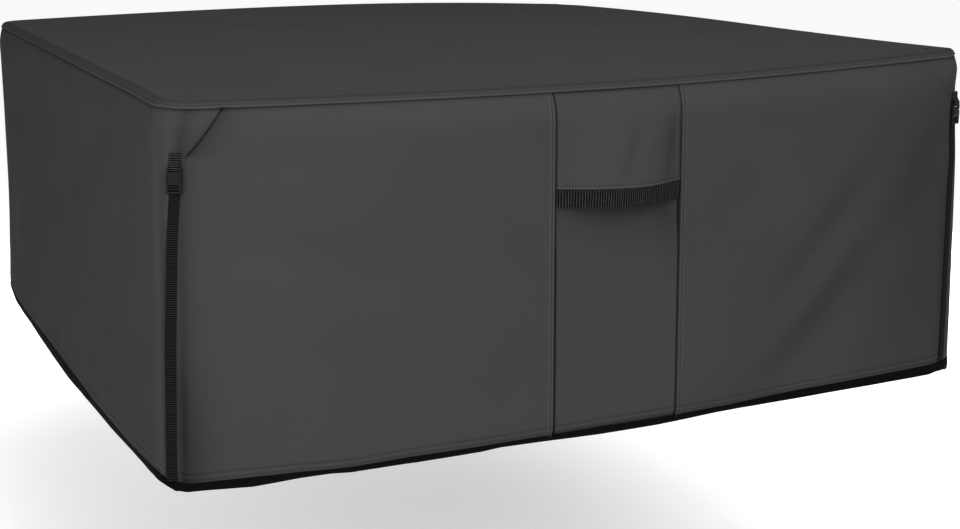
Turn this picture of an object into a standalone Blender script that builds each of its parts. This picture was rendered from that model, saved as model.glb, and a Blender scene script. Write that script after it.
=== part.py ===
"""Fitted cover for a square garden furniture set: coated cloth panels, webbing, binding and buckles.

Run with: blender --background --python part.py
Metres, +Z up, the front faces -Y. The origin is the middle of the top panel's underside, where the
covered furniture carries it, and the skirt hangs below.

Every wall piece is laid on one surface, wall(p, d, out). p runs round the perimeter: 0 at the middle
of the front, towards +X. d is the drop below the top seam. out is a distance outwards from the cloth.
"""

import math

import bmesh
import bpy
import numpy as np
from mathutils import Vector
from mathutils.geometry import delaunay_2d_cdt

# ---------------------------------------------------------------- driving dimensions, in metres
SPAN = 1.80  # each side of the top, corner to corner
SKIRT = 0.71  # top seam to hem at the front left corner
CLOTH = 0.0015  # coated polyester, with its double thickness at seams evened out
CROWN = 0.020  # the top's middle above its corners
TOP_RISE = 0.0010  # the top's cloth above the top seam, all round
SAG_REACH = 0.5  # how far in from a side its seam's sag is felt
LAYER = 0.0024  # from one lapped layer of cloth to the next, outer face to outer face
LIP = 0.009  # turned down edge of the top panel
LIP_OUT = 0.0026  # how far the lip's outer face stands outside the walls
CLOTH_TOP = 0.0015  # where the walls' upper edge lies, below the top seam
BROW_IN = 0.0010  # how far inside the seam the top's rounded edge ends
FIELD_IN = 0.0140  # how far inside it the top's field starts
SHOULDER = 0.022  # how far the walls swell out under the top seam
SHOULDER_DROP = 0.070  # the drop over which they do
SHOULDER_FADE = 0.25  # within this of a corner they swell less
SHOULDER_CORNER = 0.6  # share of the swell left at a corner
MIDDLE_WIDTH = 0.288  # front middle panel, seam to seam
SEAM_LAP = 0.012  # what is hidden behind a lapped seam of the front
FLAP_DROP = 0.195  # vent flap, top seam to turned hem
FLAP_SWELL = 0.044  # how far its hem stands off the wall at mid width
FLAP_SEAM = 0.003  # of the flap, at each seam, that lies flat
FLAP_BEHIND = (0.25, 0.35)  # drops between which the middle panel comes up to lie as one layer
HANDLE_WIDTH = 0.040  # webbing across the flap's hem
HANDLE_TUCK = 0.006  # of it behind the flap
HANDLE_LEAN = 0.10  # share of the swell that its free edge turns back
BINDING = 0.026  # height of the folded hem binding
TAPE = 0.0010  # its thickness
TAPE_GAP = 0.0009  # between the binding and the cloth it folds round
WEBBING = 0.0015  # thickness of straps and handle
STRAP_WIDTH = 0.020
TAB_TOP = 0.086  # upper end of the corner tab, below the top seam
BUCKLE_TOP = 0.112  # upper edge of the buckle's socket
BUCKLE_LENGTH = 0.046  # socket and plug together
PLATE_LOW = 0.0020  # the buckle's underside over the strap's seat
PLATE_TOP = 0.0075
SEAT_GAP = 0.0004  # a strap to the cloth under it
SEAT_DEPTH = 0.010  # how far a corner strap draws the cloth in
SEAT_WIDTH = 0.022
STRAP_GAP = 0.0012  # the strap's lower end to the binding
TAPER_DROP = 0.178  # the strap lies on its seat from here down
SEAT_DROPS = (0.03, 0.08)  # drops between which it starts to

HALF = SPAN / 2
PERIMETER = 4 * SPAN
CORNER_ZONE = 0.090  # stretch of p on each side of a corner that bends round it
CORNER_COLUMNS = 4
CORNER_LAP = CORNER_ZONE * 3 / CORNER_COLUMNS  # how far past a corner the front and rear panels reach
CORNER_UNDER = CORNER_ZONE / CORNER_COLUMNS  # how far a side panel reaches under them
CORNER_BLEND = 0.300  # beyond this p is the real distance from the corner
CORNER_EASE = 0.06  # stretch of p over which a lapped panel rises to the surface
CORNER_DROPS = (0.15, 0.50)  # drops between which a corner opens from its strap's radius to its hem's
SEAM_P = MIDDLE_WIDTH / 2
FRONT, RIGHT, REAR, LEFT = range(4)
# tangent and outward normal of each side, in plan
AXES = (((1, 0), (0, -1)), ((0, 1), (1, 0)), ((-1, 0), (0, 1)), ((0, -1), (-1, 0)))

# One row for each corner, the one that ends the side of the same number.
# name, radius at the top, at the strap's top, at the hem, flare halfway, flare at the hem, hem drop,
# and how far round the bend its strap is sewn, onwards in p
CORNERS = (
    ("front_right", 0.054, 0.032, 0.045, 0.017, 0.023, 0.037, 0.0),
    ("rear_right", 0.054, 0.036, 0.060, 0.015, 0.019, 0.030, 0.0),
    ("rear_left", 0.054, 0.045, 0.085, 0.004, 0.023, 0.045, 0.0),
    ("front_left", 0.054, 0.037, 0.034, 0.013, 0.031, 0.000, 0.010),
)
# One row for each side: bow of the top seam, bow of the hem, sag of the top seam (minus is an arch)
SIDES = (
    (0.031, 0.014, 0.013),
    (0.040, 0.027, 0.004),
    (0.014, 0.020, -0.014),
    (0.002, 0.008, -0.005),
)
# One row for each soft fold of a wall, along a curve from (s, d) to (s, d) by way of a middle point.
# s is measured along the side from its middle, seen from outside.
# side, s0, d0, s1, d1, s2, d2, width, height (minus is a trough)
FOLDS = (
    (FRONT, 0.76, 0.09, 0.58, 0.30, 0.25, 0.69, 0.050, -0.011),
    (FRONT, 0.80, 0.20, 0.60, 0.37, 0.28, 0.68, 0.040, 0.007),
    (FRONT, 0.66, 0.34, 0.52, 0.53, 0.34, 0.70, 0.050, -0.009),
    (FRONT, 0.74, 0.40, 0.66, 0.52, 0.56, 0.69, 0.045, 0.005),
    (FRONT, -0.81, 0.06, -0.73, 0.25, -0.38, 0.36, 0.050, -0.009),
    (FRONT, -0.80, 0.26, -0.72, 0.40, -0.60, 0.52, 0.055, -0.007),
    (FRONT, -0.70, 0.12, -0.60, 0.20, -0.46, 0.26, 0.060, 0.005),
    (FRONT, -0.50, 0.68, -0.34, 0.60, -0.18, 0.68, 0.070, -0.005),
    (LEFT, 0.80, 0.05, 0.45, 0.12, 0.05, 0.34, 0.070, -0.010),
    (LEFT, 0.78, 0.16, 0.50, 0.26, 0.28, 0.50, 0.070, 0.006),
    (LEFT, -0.10, 0.10, -0.25, 0.34, -0.20, 0.62, 0.110, -0.009),
    (LEFT, -0.52, 0.14, -0.50, 0.36, -0.56, 0.60, 0.100, 0.007),
    (RIGHT, -0.74, 0.14, -0.48, 0.34, -0.12, 0.58, 0.080, -0.008),
    (RIGHT, 0.40, 0.16, 0.34, 0.40, 0.42, 0.66, 0.110, -0.008),
    (REAR, -0.56, 0.12, -0.38, 0.36, -0.42, 0.62, 0.110, -0.008),
    (REAR, 0.46, 0.14, 0.52, 0.38, 0.40, 0.64, 0.110, -0.008),
)
# The pleat from the top seam down to each tab: reach from the corner at the seam, at its end, its drop
PLEAT = (0.140, 0.083, 0.085)
PLEAT_WIDTH = 0.016
PLEAT_DEPTH = 0.006
PLEAT_FADE = 0.03
# Troughs of the top: x0, y0, x1, y1, x2, y2, width, height
TOP_FOLDS = (
    (0.34, 0.30, 0.50, -0.06, 0.64, -0.52, 0.060, -0.005),
    (-0.62, 0.62, -0.20, 0.40, 0.26, 0.46, 0.120, -0.006),
)
# Rows down a panel, closer where the shoulder and the pleats bend, with one at the binding's edge
SHOULDER_ROWS = (CLOTH_TOP, 0.012, 0.026, 0.044, 0.066, 0.096, 0.140)
WALL_ROWS = SHOULDER_ROWS + (0.195, 0.260, 0.330, 0.400, 0.470, 0.550, 0.620, SKIRT - BINDING, SKIRT)
FLAP_ROWS = (CLOTH_TOP, 0.012, 0.026, 0.044, 0.066, 0.096, 0.125, 0.152, 0.176, FLAP_DROP)
# Columns between two corner zones: front, right, rear, left
COLUMN_STEPS = (0.055, 0.135, 0.162, 0.081)

# The buckle's socket and plug. Rows of u from the buckle's upper edge, half width, half the middle
# column. The socket is open where the tab goes round its bar. The plug's arms run up beside the
# socket's narrow mouth, and the strap is laced through its two slots.
SOCKET_ROWS = (
    (0.0000, 0.0124, 0.0104),
    (0.0040, 0.0130, 0.0104),
    (0.0078, 0.0136, 0.0104),
    (0.0115, 0.0143, 0.0104),
    (0.0138, 0.0143, 0.0088),
    (0.0140, 0.0108, 0.0088),
    (0.0272, 0.0108, 0.0088),
)
SOCKET_WINDOWS = ((1, 1),)
PLUG_ROWS = (
    (0.0143, 0.0134, 0.0112),
    (0.0165, 0.0143, 0.0112),
    (0.0275, 0.0143, 0.0112),
    (0.0305, 0.0143, 0.0112),
    (0.0349, 0.0143, 0.0112),
    (0.0381, 0.0143, 0.0112),
    (0.0425, 0.0143, 0.0112),
    (0.0458, 0.0139, 0.0112),
)
PLUG_WINDOWS = ((0, 1), (1, 1), (3, 1), (5, 1))
# The tab's way, in u and height h over the seat: from its end down the front, round the socket's bar
# and back up behind, where both layers are sewn to the cloth
TAB_PATH = (
    (TAB_TOP - BUCKLE_TOP + 0.001, 0.0034),
    (-0.0140, 0.0034),
    (-0.0100, 0.0054),
    (-0.0040, 0.0093),
    (0.0030, 0.0093),
    (0.0050, 0.0087),
    (0.0060, 0.0070),
    (0.0060, 0.0025),
    (0.0052, 0.0008),
    (0.0030, 0.0),
    (-0.0080, 0.0),
    (TAB_TOP - BUCKLE_TOP, 0.0),
)
# The strap's way through the plug: under the lowest bar, over the middle one, end under the upper one
STRAP_END = (
    (0.0460, 0.0),
    (0.0425, 0.0002),
    (0.0405, 0.0012),
    (0.0398, 0.0030),
    (0.0393, 0.0068),
    (0.0382, 0.0079),
    (0.0348, 0.0079),
    (0.0338, 0.0068),
    (0.0333, 0.0030),
    (0.0325, 0.0010),
    (0.0308, 0.0),
    (0.0288, 0.0),
)

# Finishes: linear colour, roughness, metallic
FINISHES = {
    "cloth": ((0.060, 0.060, 0.062), 0.78, 0.0),
    "webbing": ((0.009, 0.009, 0.010), 0.70, 0.0),
    "plastic": ((0.012, 0.012, 0.013), 0.38, 0.0),
}


# ---------------------------------------------------------------- the wall's surface
def smooth(x):
    """A soft step from 0 to 1."""
    x = np.clip(x, 0.0, 1.0)
    return x * x * (3 - 2 * x)


def between(d, drops):
    """A soft step from 0 at the first drop to 1 at the second."""
    start, end = drops
    return smooth((d - start) / (end - start))


def curve_points(x0, y0, x1, y1, x2, y2, count=25):
    """Points of the parabola that starts at 0, ends at 2 and passes through 1 halfway."""
    u = np.linspace(0.0, 1.0, count)
    bend_x = 2 * x1 - (x0 + x2) / 2
    bend_y = 2 * y1 - (y0 + y2) / 2
    x = (1 - u) ** 2 * x0 + 2 * u * (1 - u) * bend_x + u * u * x2
    y = (1 - u) ** 2 * y0 + 2 * u * (1 - u) * bend_y + u * u * y2
    return u, x, y


def fold_height(a, b, row):
    """Height that one fold adds at (a, b): a soft ridge or trough that fades at both ends."""
    *line, width, height = row
    u, x, y = curve_points(*line)
    apart = np.hypot(a[..., None] - x, b[..., None] - y)
    nearest = apart.argmin(axis=-1)
    fade = np.sin(np.pi * np.clip(u[nearest], 0.0, 1.0)) ** 0.7
    fade = np.maximum(fade, 0.15)
    return height * fade * np.exp(-((apart.min(axis=-1) / width) ** 2))


def corner_radius(row, d):
    """Radius of a corner at a drop d: wide at the top, drawn in at the buckle, looser below."""
    _, top, strap, hem, *_ = row
    upper = top + (strap - top) * smooth(d / TAB_TOP)
    return upper + (hem - strap) * between(d, CORNER_DROPS)


def corner_flare(row, d):
    """How far a corner stands outside the top's own square at a drop d."""
    halfway, hem = row[4:6]
    t = d / SKIRT
    return 4 * halfway * t * (1 - t) + hem * t * (2 * t - 1)


def relief(side, s, d):
    """Folds of one side, outwards, and the pleats at the corners of the front and the rear."""
    height = np.zeros_like(s)
    for row in FOLDS:
        if row[0] == side:
            height += fold_height(s, d, row[1:])
    if side in (LEFT, RIGHT):
        return height
    reach = HALF - np.abs(s)
    top_reach, end_reach, end_drop = PLEAT
    pleat_reach = top_reach + (end_reach - top_reach) * d / end_drop
    fade = between(d, (LIP, LIP + PLEAT_FADE)) * (1 - between(d, (end_drop, end_drop + PLEAT_FADE)))
    height -= PLEAT_DEPTH * fade * np.exp(-(((reach - pleat_reach) / PLEAT_WIDTH) ** 2))
    return height


def wall(p, d, out=0.0):
    """The cloth's outer face at perimeter place p and drop d, moved outwards by out."""
    p, d, out = np.broadcast_arrays(*(np.asarray(v, float) for v in (p, d, out)))
    p = (p + HALF) % PERIMETER
    sides = np.minimum((p // SPAN).astype(int), 3)
    points = np.zeros(p.shape + (3,))
    for side in range(4):
        mine = sides == side
        if mine.any():
            points[mine] = side_wall(side, p[mine] - side * SPAN - HALF, d[mine], out[mine])
    return points


def side_wall(side, s, d, out):
    """wall() on one side, where s runs from -HALF to HALF."""
    before, after = CORNERS[side - 1], CORNERS[side]
    seam_bow, hem_bow, sag = SIDES[side]
    t = d / SKIRT
    mix = (s / HALF + 1) / 2
    arch = 1 - (s / HALF) ** 2
    reach = HALF - np.abs(s)
    radius = np.where(s > 0, corner_radius(after, d), corner_radius(before, d))
    flare = corner_flare(before, d) * (1 - mix) + corner_flare(after, d) * mix
    drop = before[6] * (1 - mix) + after[6] * mix
    # plan: an eighth of a turn round the corner, then the straight
    turn = math.radians(45) * np.clip(1 - reach / CORNER_ZONE, 0.0, 1.0)
    straight = radius + (reach - CORNER_ZONE) * (CORNER_BLEND - radius) / (CORNER_BLEND - CORNER_ZONE)
    inset = np.where(reach < CORNER_BLEND, straight, reach)
    inset = np.where(reach < CORNER_ZONE, radius * (1 - np.sin(turn)), inset)
    along = np.sign(s) * (HALF - inset) * (1 + flare / HALF)
    away = HALF + flare - radius * (1 - np.cos(turn))
    # outwards: bow, shoulder, folds and the seat of the corner strap
    swell = 1 - (1 - np.clip(d / SHOULDER_DROP, 0.0, 1.0)) ** 2
    swell = SHOULDER * swell * (SHOULDER_CORNER + (1 - SHOULDER_CORNER) * smooth(reach / SHOULDER_FADE))
    bow = (seam_bow + (hem_bow - seam_bow) * t) * arch
    arc = radius * math.radians(45)
    from_corner = np.where(reach < CORNER_ZONE, arc * reach / CORNER_ZONE, arc + inset - radius)
    from_strap = from_corner - np.where(s > 0, -after[7], before[7])
    seat = SEAT_DEPTH * np.exp(-((from_strap / SEAT_WIDTH) ** 2)) * between(d, SEAT_DROPS)
    outwards = bow + swell - seat + relief(side, s, d) + out
    along = along + np.sign(s) * np.sin(turn) * outwards
    away = away + np.cos(turn) * outwards
    tangent, normal = AXES[side]
    x = tangent[0] * along + normal[0] * away
    y = tangent[1] * along + normal[1] * away
    z = -CROWN - sag * arch - d * (1 + drop / SKIRT)
    return np.stack([x, y, z], axis=-1)


def top_height(x, y):
    """Outer face of the top panel."""
    arch_x = np.clip(1 - (x / HALF) ** 2, 0, 1)
    arch_y = np.clip(1 - (y / HALF) ** 2, 0, 1)
    height = CLOTH + TOP_RISE - CROWN + (CROWN - TOP_RISE) * arch_x * arch_y
    nears = (HALF + y, HALF - x, HALF - y, HALF + x)
    arches = (arch_x, arch_y, arch_x, arch_y)
    for (_, _, sag), near, arch in zip(SIDES, nears, arches):
        height = height - sag * arch * np.clip(1 - near / SAG_REACH, 0, 1) ** 2
    for row in TOP_FOLDS:
        height = height + fold_height(x, y, row)
    return height


# ---------------------------------------------------------------- seams
def eased_layer(p, start, end):
    """1 layer in at both ends of a panel that laps under its neighbours, 0 between."""
    nearest = np.minimum(p - start, end - p) - 1.4 * CORNER_UNDER
    return 1 - smooth(nearest / CORNER_EASE)


def middle_depth(d):
    """How far the middle panel is set back: three layers behind the flap, one below it."""
    return LAYER * (3 - 2 * between(d, FLAP_BEHIND))


def flap_swell(s, d):
    """How far the flap, and the handle below it, stand off the wall."""
    across = np.clip(1 - (s / (SEAM_P - FLAP_SEAM)) ** 2, 0, 1) ** 1.2
    down = np.clip(d / FLAP_DROP, 0, 1) ** 1.6
    return FLAP_SWELL * across * down


# ---------------------------------------------------------------- meshes
def shared_columns():
    """Places round the perimeter that every wall piece shares, so lapped faces run parallel."""
    places = []
    for side in range(4):
        zone = np.linspace(0, CORNER_ZONE, CORNER_COLUMNS + 1)[:-1]
        span = HALF - CORNER_ZONE
        if side == FRONT:
            span -= SEAM_P
            count = round(span / COLUMN_STEPS[side])
            half = np.concatenate([zone, CORNER_ZONE + span * np.arange(count + 1) / count])
            inner = np.linspace(-SEAM_P, SEAM_P, 7)[1:-1]
            local = np.concatenate([-HALF + half, inner, HALF - half[::-1]])
        else:
            count = round(2 * span / COLUMN_STEPS[side])
            inner = np.linspace(-span, span, count + 1)
            local = np.concatenate([-HALF + zone, inner, HALF - zone[::-1]])
        places.append(local[:-1] + side * SPAN)
    return np.concatenate(places)


def columns_between(start, end, spare=0.004):
    """start, the shared columns between, and end."""
    every = np.concatenate([COLUMNS - PERIMETER, COLUMNS, COLUMNS + PERIMETER])
    inner = every[(every > start + spare) & (every < end - spare)]
    return np.concatenate([[start], inner, [end]])


def grid_faces(rows, columns):
    """Triangles of a grid that is stored row by row, seen from outside.

    Every wall piece splits its cells along the same diagonal, so lapped faces can't cross.
    """
    faces = []
    for i in range(rows - 1):
        for j in range(columns - 1):
            corner = i * columns + j
            below = corner + columns
            faces += [(corner, below, below + 1), (corner, below + 1, corner + 1)]
    return faces


def vertex_normals(points, faces):
    """Normals averaged over the faces round each point."""
    normals = np.zeros_like(points)
    for face in faces:
        face = list(face)
        corners = points[face]
        edge_a = corners[2] - corners[0]
        edge_b = corners[-1] - corners[1] if len(face) == 4 else corners[2] - corners[1]
        normals[face] += np.cross(edge_a, edge_b)
    return normals / np.linalg.norm(normals, axis=1)[:, None]


def open_edges(faces):
    """Edges that only one face has, in that face's direction."""
    seen = {}
    for face in faces:
        for a, b in zip(face, face[1:] + face[:1]):
            seen[(a, b)] = True
    return [(a, b) for a, b in seen if (b, a) not in seen]


def add_object(name, points, faces, finish, soft=True):
    """One named object of its own mesh, with its finish."""
    mesh = bpy.data.meshes.new(name)
    mesh.from_pydata([tuple(v) for v in points], [], [tuple(f) for f in faces])
    mesh.validate()
    mesh.update()
    thing = bpy.data.objects.new(name, mesh)
    bpy.context.scene.collection.objects.link(thing)
    mesh.materials.append(material(finish))
    if soft:
        mesh.shade_smooth()
        mesh.set_sharp_from_angle(angle=math.radians(40))
    return thing


def sheet(name, points, faces, finish, thickness):
    """A closed sheet: the given outer face, an inner face behind it, and its edges."""
    points = np.asarray(points)
    faces = [tuple(f) for f in faces]
    count = len(points)
    inner = points - thickness * vertex_normals(points, faces)
    solid = list(faces)
    solid += [tuple(count + v for v in reversed(face)) for face in faces]
    solid += [(b, a, count + a, count + b) for a, b in open_edges(faces)]
    return add_object(name, np.concatenate([points, inner]), solid, finish)


def sweep(name, sections, finish):
    """A closed solid through a row of equal closed sections."""
    sections = np.asarray(sections)
    rings, size = sections.shape[:2]
    faces = []
    for i in range(rings - 1):
        for j in range(size):
            after = (j + 1) % size
            cell = [i * size + j, i * size + after, (i + 1) * size + after, (i + 1) * size + j]
            if sections[i, j, 2] < sections[i, after, 2]:
                cell = cell[1:] + cell[:1]
            faces += [(cell[0], cell[1], cell[2]), (cell[0], cell[2], cell[3])]
    faces.append(tuple(reversed(range(size))))
    faces.append(tuple((rings - 1) * size + j for j in range(size)))
    thing = add_object(name, sections.reshape(-1, 3), faces, finish)
    face_outwards(thing.data)
    return thing


def face_outwards(mesh):
    """Turns a closed mesh's faces outwards."""
    work = bmesh.new()
    work.from_mesh(mesh)
    bmesh.ops.recalc_face_normals(work, faces=work.faces)
    work.to_mesh(mesh)
    work.free()


def material(finish):
    """The Principled material of a finish, made once."""
    found = bpy.data.materials.get(finish)
    if found:
        return found
    colour, roughness, metallic = FINISHES[finish]
    made = bpy.data.materials.new(finish)
    made.use_nodes = True
    shader = made.node_tree.nodes["Principled BSDF"]
    shader.inputs["Base Color"].default_value = (*colour, 1.0)
    shader.inputs["Roughness"].default_value = roughness
    shader.inputs["Metallic"].default_value = metallic
    return made


# ---------------------------------------------------------------- cloth pieces
def wall_panel(name, start, end, layer):
    """A wall panel from p = start to end, layer(p, d) inside the surface."""
    p, d = np.meshgrid(columns_between(start, end), WALL_ROWS)
    points = wall(p, d, -layer(p, d))
    return sheet(name, points.reshape(-1, 3), grid_faces(*p.shape), "cloth", CLOTH)


def flush(p, d):
    """Depth of a panel that lies on top of its neighbours."""
    return np.zeros_like(p)


def tucked(start, end):
    """Depth of a side panel, both ends of which lie under the panels that wrap the corners."""
    return lambda p, d: LAYER * eased_layer(p, start, end)


def make_walls():
    """Front, side and rear panels."""
    wall_panel("front_left_panel", -HALF - CORNER_LAP, -SEAM_P, flush)
    wall_panel("front_right_panel", SEAM_P, HALF + CORNER_LAP, flush)
    start, end = -SEAM_P - SEAM_LAP, SEAM_P + SEAM_LAP
    wall_panel("front_middle_panel", start, end, lambda p, d: middle_depth(d))
    hidden = CORNER_LAP - CORNER_UNDER
    start, end = HALF + hidden, HALF + SPAN - hidden
    wall_panel("right_side_panel", start, end, tucked(start, end))
    start, end = HALF + SPAN - CORNER_LAP, HALF + 2 * SPAN + CORNER_LAP
    wall_panel("rear_panel", start, end, flush)
    start, end = -HALF - SPAN + hidden, -HALF - hidden
    wall_panel("left_side_panel", start, end, tucked(start, end))


def make_flap():
    """The hood over the vent, and the webbing handle under its hem."""
    edge, swelling = SEAM_P + SEAM_LAP, SEAM_P - FLAP_SEAM
    s = np.concatenate([[-edge], np.linspace(-swelling, swelling, 11), [edge]])
    grid_s, grid_d = np.meshgrid(s, FLAP_ROWS)
    points = wall(grid_s, grid_d, flap_swell(grid_s, grid_d) - LAYER)
    sheet("vent_flap", points.reshape(-1, 3), grid_faces(*grid_s.shape), "cloth", CLOTH)
    top = FLAP_DROP - HANDLE_TUCK
    low = top + HANDLE_WIDTH
    grid_s, grid_d = np.meshgrid(s, (top, FLAP_DROP, (FLAP_DROP + low) / 2, low))
    lean = 1 - HANDLE_LEAN * np.clip(grid_d - FLAP_DROP, 0, None) / HANDLE_WIDTH
    points = wall(grid_s, grid_d, flap_swell(grid_s, grid_d) * lean - 2 * LAYER)
    sheet("vent_handle", points.reshape(-1, 3), grid_faces(*grid_s.shape), "webbing", WEBBING)


def make_top():
    """The crowned top, with its lip turned down over the walls."""
    count = len(COLUMNS)
    lip = wall(COLUMNS, LIP, LIP_OUT)
    bend = wall(COLUMNS, 0.0, LIP_OUT)
    brow = wall(COLUMNS, 0.0, -BROW_IN)
    brow[:, 2] = top_height(brow[:, 0], brow[:, 1]) - 0.3 * TOP_RISE
    field = wall(COLUMNS, 0.0, -FIELD_IN)
    field[:, 2] = top_height(field[:, 0], field[:, 1])
    rings = np.concatenate([lip, bend, brow, field])
    faces = []
    for ring in range(3):
        for j in range(count):
            after = (j + 1) % count
            low, high = ring * count, (ring + 1) * count
            faces.append((low + j, low + after, high + after, high + j))
    steps = np.linspace(-HALF, HALF, 15)[1:-1]
    inner = [(x, y) for x in steps for y in steps if max(abs(x), abs(y)) < HALF - 0.07]
    flat = [Vector(v[:2]) for v in field] + [Vector(v) for v in inner]
    loop = [(j, (j + 1) % count) for j in range(count)]
    places, _, triangles, *_ = delaunay_2d_cdt(flat, loop, [], 1, 1e-6)
    first = 3 * count
    inner = np.array([tuple(v) for v in places[count:]])
    inner_z = top_height(inner[:, 0], inner[:, 1])
    points = np.concatenate([rings, np.column_stack([inner, inner_z])])
    faces += [tuple(first + v for v in triangle) for triangle in triangles]
    sheet("top_panel", points, faces, "cloth", CLOTH)


# ---------------------------------------------------------------- binding, straps, buckles
def make_binding():
    """Tape folded round the hem, one length a side."""
    outside = TAPE_GAP + TAPE
    inside = -(LAYER + CLOTH + TAPE_GAP)
    low = SKIRT + TAPE_GAP
    section = (
        (SKIRT - BINDING, outside),
        (low + TAPE, outside),
        (low + TAPE, inside - TAPE),
        (SKIRT - BINDING, inside - TAPE),
        (SKIRT - BINDING, inside),
        (low, inside),
        (low, TAPE_GAP),
        (SKIRT - BINDING, TAPE_GAP),
    )
    drops, outs = np.array(section).T
    for side, name in enumerate(("front", "right", "rear", "left")):
        start = side * SPAN - HALF + 0.0008
        places = columns_between(start, start + SPAN - 0.0016)
        sweep(f"hem_binding_{name}", [wall(np.full(len(drops), p), drops, outs) for p in places], "webbing")


class Corner:
    """A corner's own frame, for what lies on its strap's seat.

    u is the drop below the buckle's upper edge, h the height over the seat, a the place across.
    """

    def __init__(self, number):
        self.name, _, radius, *_, place = CORNERS[number]
        self.p = HALF + number * SPAN + place * CORNER_ZONE / (radius * math.radians(45))
        diagonal = wall(self.p, 0.3, 1.0) - wall(self.p, 0.3, 0.0)
        self.out = diagonal / np.linalg.norm(diagonal)
        self.across = np.array([-self.out[1], self.out[0], 0.0])
        self.origin = self.seat(BUCKLE_TOP)
        fall = self.seat(BUCKLE_TOP + BUCKLE_LENGTH) - self.origin
        self.down = fall / np.linalg.norm(fall)
        self.lift = np.cross(self.down, self.across)

    def seat(self, d):
        """Where the strap's inner face lies at a drop d, clear of the cloth over its width."""
        middle = wall(self.p, d)
        offsets = wall(self.p + np.linspace(-0.05, 0.05, 21), d) - middle
        beneath = np.abs(offsets @ self.across) < STRAP_WIDTH * 0.7
        return middle + self.out * ((offsets @ self.out)[beneath].max() + SEAT_GAP)

    def lay(self, u, h, a=0.0):
        """A point of this frame: on the rigid buckle's plane beside it, on the seat elsewhere."""
        if 0 <= u <= BUCKLE_LENGTH:
            return self.origin + self.down * u + self.lift * h + self.across * a
        return self.seat(BUCKLE_TOP + u) + self.out * h + self.across * a


def webbing_strip(name, corner, path):
    """Webbing of strap width along a path of (u, h), with its thickness on the path's left."""
    middles = np.array([corner.lay(u, h) for u, h in path])
    run = np.gradient(middles, axis=0)
    normals = np.cross(corner.across, run)
    normals /= np.linalg.norm(normals, axis=1)[:, None]
    edge = corner.across * STRAP_WIDTH / 2
    sections = []
    for point, normal in zip(middles, normals):
        over = point + normal * WEBBING
        sections.append([point - edge, point + edge, over + edge, over - edge])
    return sweep(name, sections, "webbing")


def plate(name, corner, rows, windows):
    """A flat buckle part. Each row has its u, its half width and where its middle column ends.

    windows are the cells (row, column) that are open.
    """
    points = []
    for u, half_width, middle in rows:
        points += [corner.lay(u, PLATE_TOP, a) for a in (-half_width, -middle, middle, half_width)]
    faces = []
    for i in range(len(rows) - 1):
        for j in range(3):
            if (i, j) not in windows:
                first = i * 4 + j
                faces.append((first, first + 4, first + 5, first + 1))
    return sheet(name, points, faces, "plastic", PLATE_TOP - PLATE_LOW)


def make_corner(number):
    """Tab, buckle and long strap of one corner."""
    corner = Corner(number)
    webbing_strip(f"{corner.name}_tab", corner, TAB_PATH)
    plate(f"{corner.name}_buckle_socket", corner, SOCKET_ROWS, SOCKET_WINDOWS)
    plate(f"{corner.name}_buckle_plug", corner, PLUG_ROWS, PLUG_WINDOWS)
    lowest = SKIRT - BINDING - STRAP_GAP
    drops = [lowest] + [d for d in WALL_ROWS[::-1] if TAPER_DROP < d < SKIRT - BINDING]
    webbing_strip(f"{corner.name}_strap", corner, [(d - BUCKLE_TOP, 0.0) for d in drops] + list(STRAP_END))


def main():
    """Clears the scene and makes every piece."""
    for thing in list(bpy.data.objects):
        bpy.data.objects.remove(thing)
    make_top()
    make_walls()
    make_flap()
    make_binding()
    for number in range(4):
        make_corner(number)


COLUMNS = shared_columns()
main()
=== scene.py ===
"""Looks of a square, box shaped, fitted outdoor cover.

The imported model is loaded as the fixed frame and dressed: coated cloth as thin sheets with their
folds, laps, lip and stitching, ribbed webbing, moulded side release buckles, the folded hem binding,
and a plain pale floor with soft light. Metres, +Z up, the front faces -Y, and the origin is the middle
of the top panel's underside.
"""

import logging
import math
from collections.abc import Callable, Iterable, Iterator, Sequence
from dataclasses import dataclass, field
from enum import Enum

import bmesh
import bpy
import numpy as np
from mathutils import Matrix, Vector
from mathutils.geometry import delaunay_2d_cdt


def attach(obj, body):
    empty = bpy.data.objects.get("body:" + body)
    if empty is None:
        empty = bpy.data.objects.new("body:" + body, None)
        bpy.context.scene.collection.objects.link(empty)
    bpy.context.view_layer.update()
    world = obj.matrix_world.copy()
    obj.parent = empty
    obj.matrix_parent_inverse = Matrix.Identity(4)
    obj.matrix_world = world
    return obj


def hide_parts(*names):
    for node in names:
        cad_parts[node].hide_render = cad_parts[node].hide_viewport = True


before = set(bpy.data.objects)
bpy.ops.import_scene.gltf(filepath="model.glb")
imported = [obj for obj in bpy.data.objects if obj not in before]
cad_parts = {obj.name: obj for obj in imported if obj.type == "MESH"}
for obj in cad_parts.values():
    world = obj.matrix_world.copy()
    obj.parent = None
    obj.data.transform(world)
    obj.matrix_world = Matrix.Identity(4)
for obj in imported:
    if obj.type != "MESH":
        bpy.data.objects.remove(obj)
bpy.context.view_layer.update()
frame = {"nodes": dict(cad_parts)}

LOG = logging.getLogger("cover")
BODY = "root"
# half of the turn round a corner
HALF_BEND = math.radians(45)
# drops of the first rows of points, under the lip
UPPER_ROWS = (0.0015, 0.004, 0.007, 0.010, 0.013)
# how close counts as met where a moulding's faces are picked, in metres
NEAR = 1e-4
# edges between faces at more than this angle stay sharp
CLOTH_SHARP, TAPE_SHARP, PLASTIC_SHARP = math.radians(60), math.radians(50), math.radians(45)
# numbers of the colour mix node's two inputs and its output
MIX_FROM, MIX_TO, MIX_OUT = 6, 7, 2
# what noise nodes give nearly everywhere
NOISE_RANGE = (0.3, 0.7)
# |x| and |y| past which a place on the walls belongs to a corner
CORNER_FROM = 0.86

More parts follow.
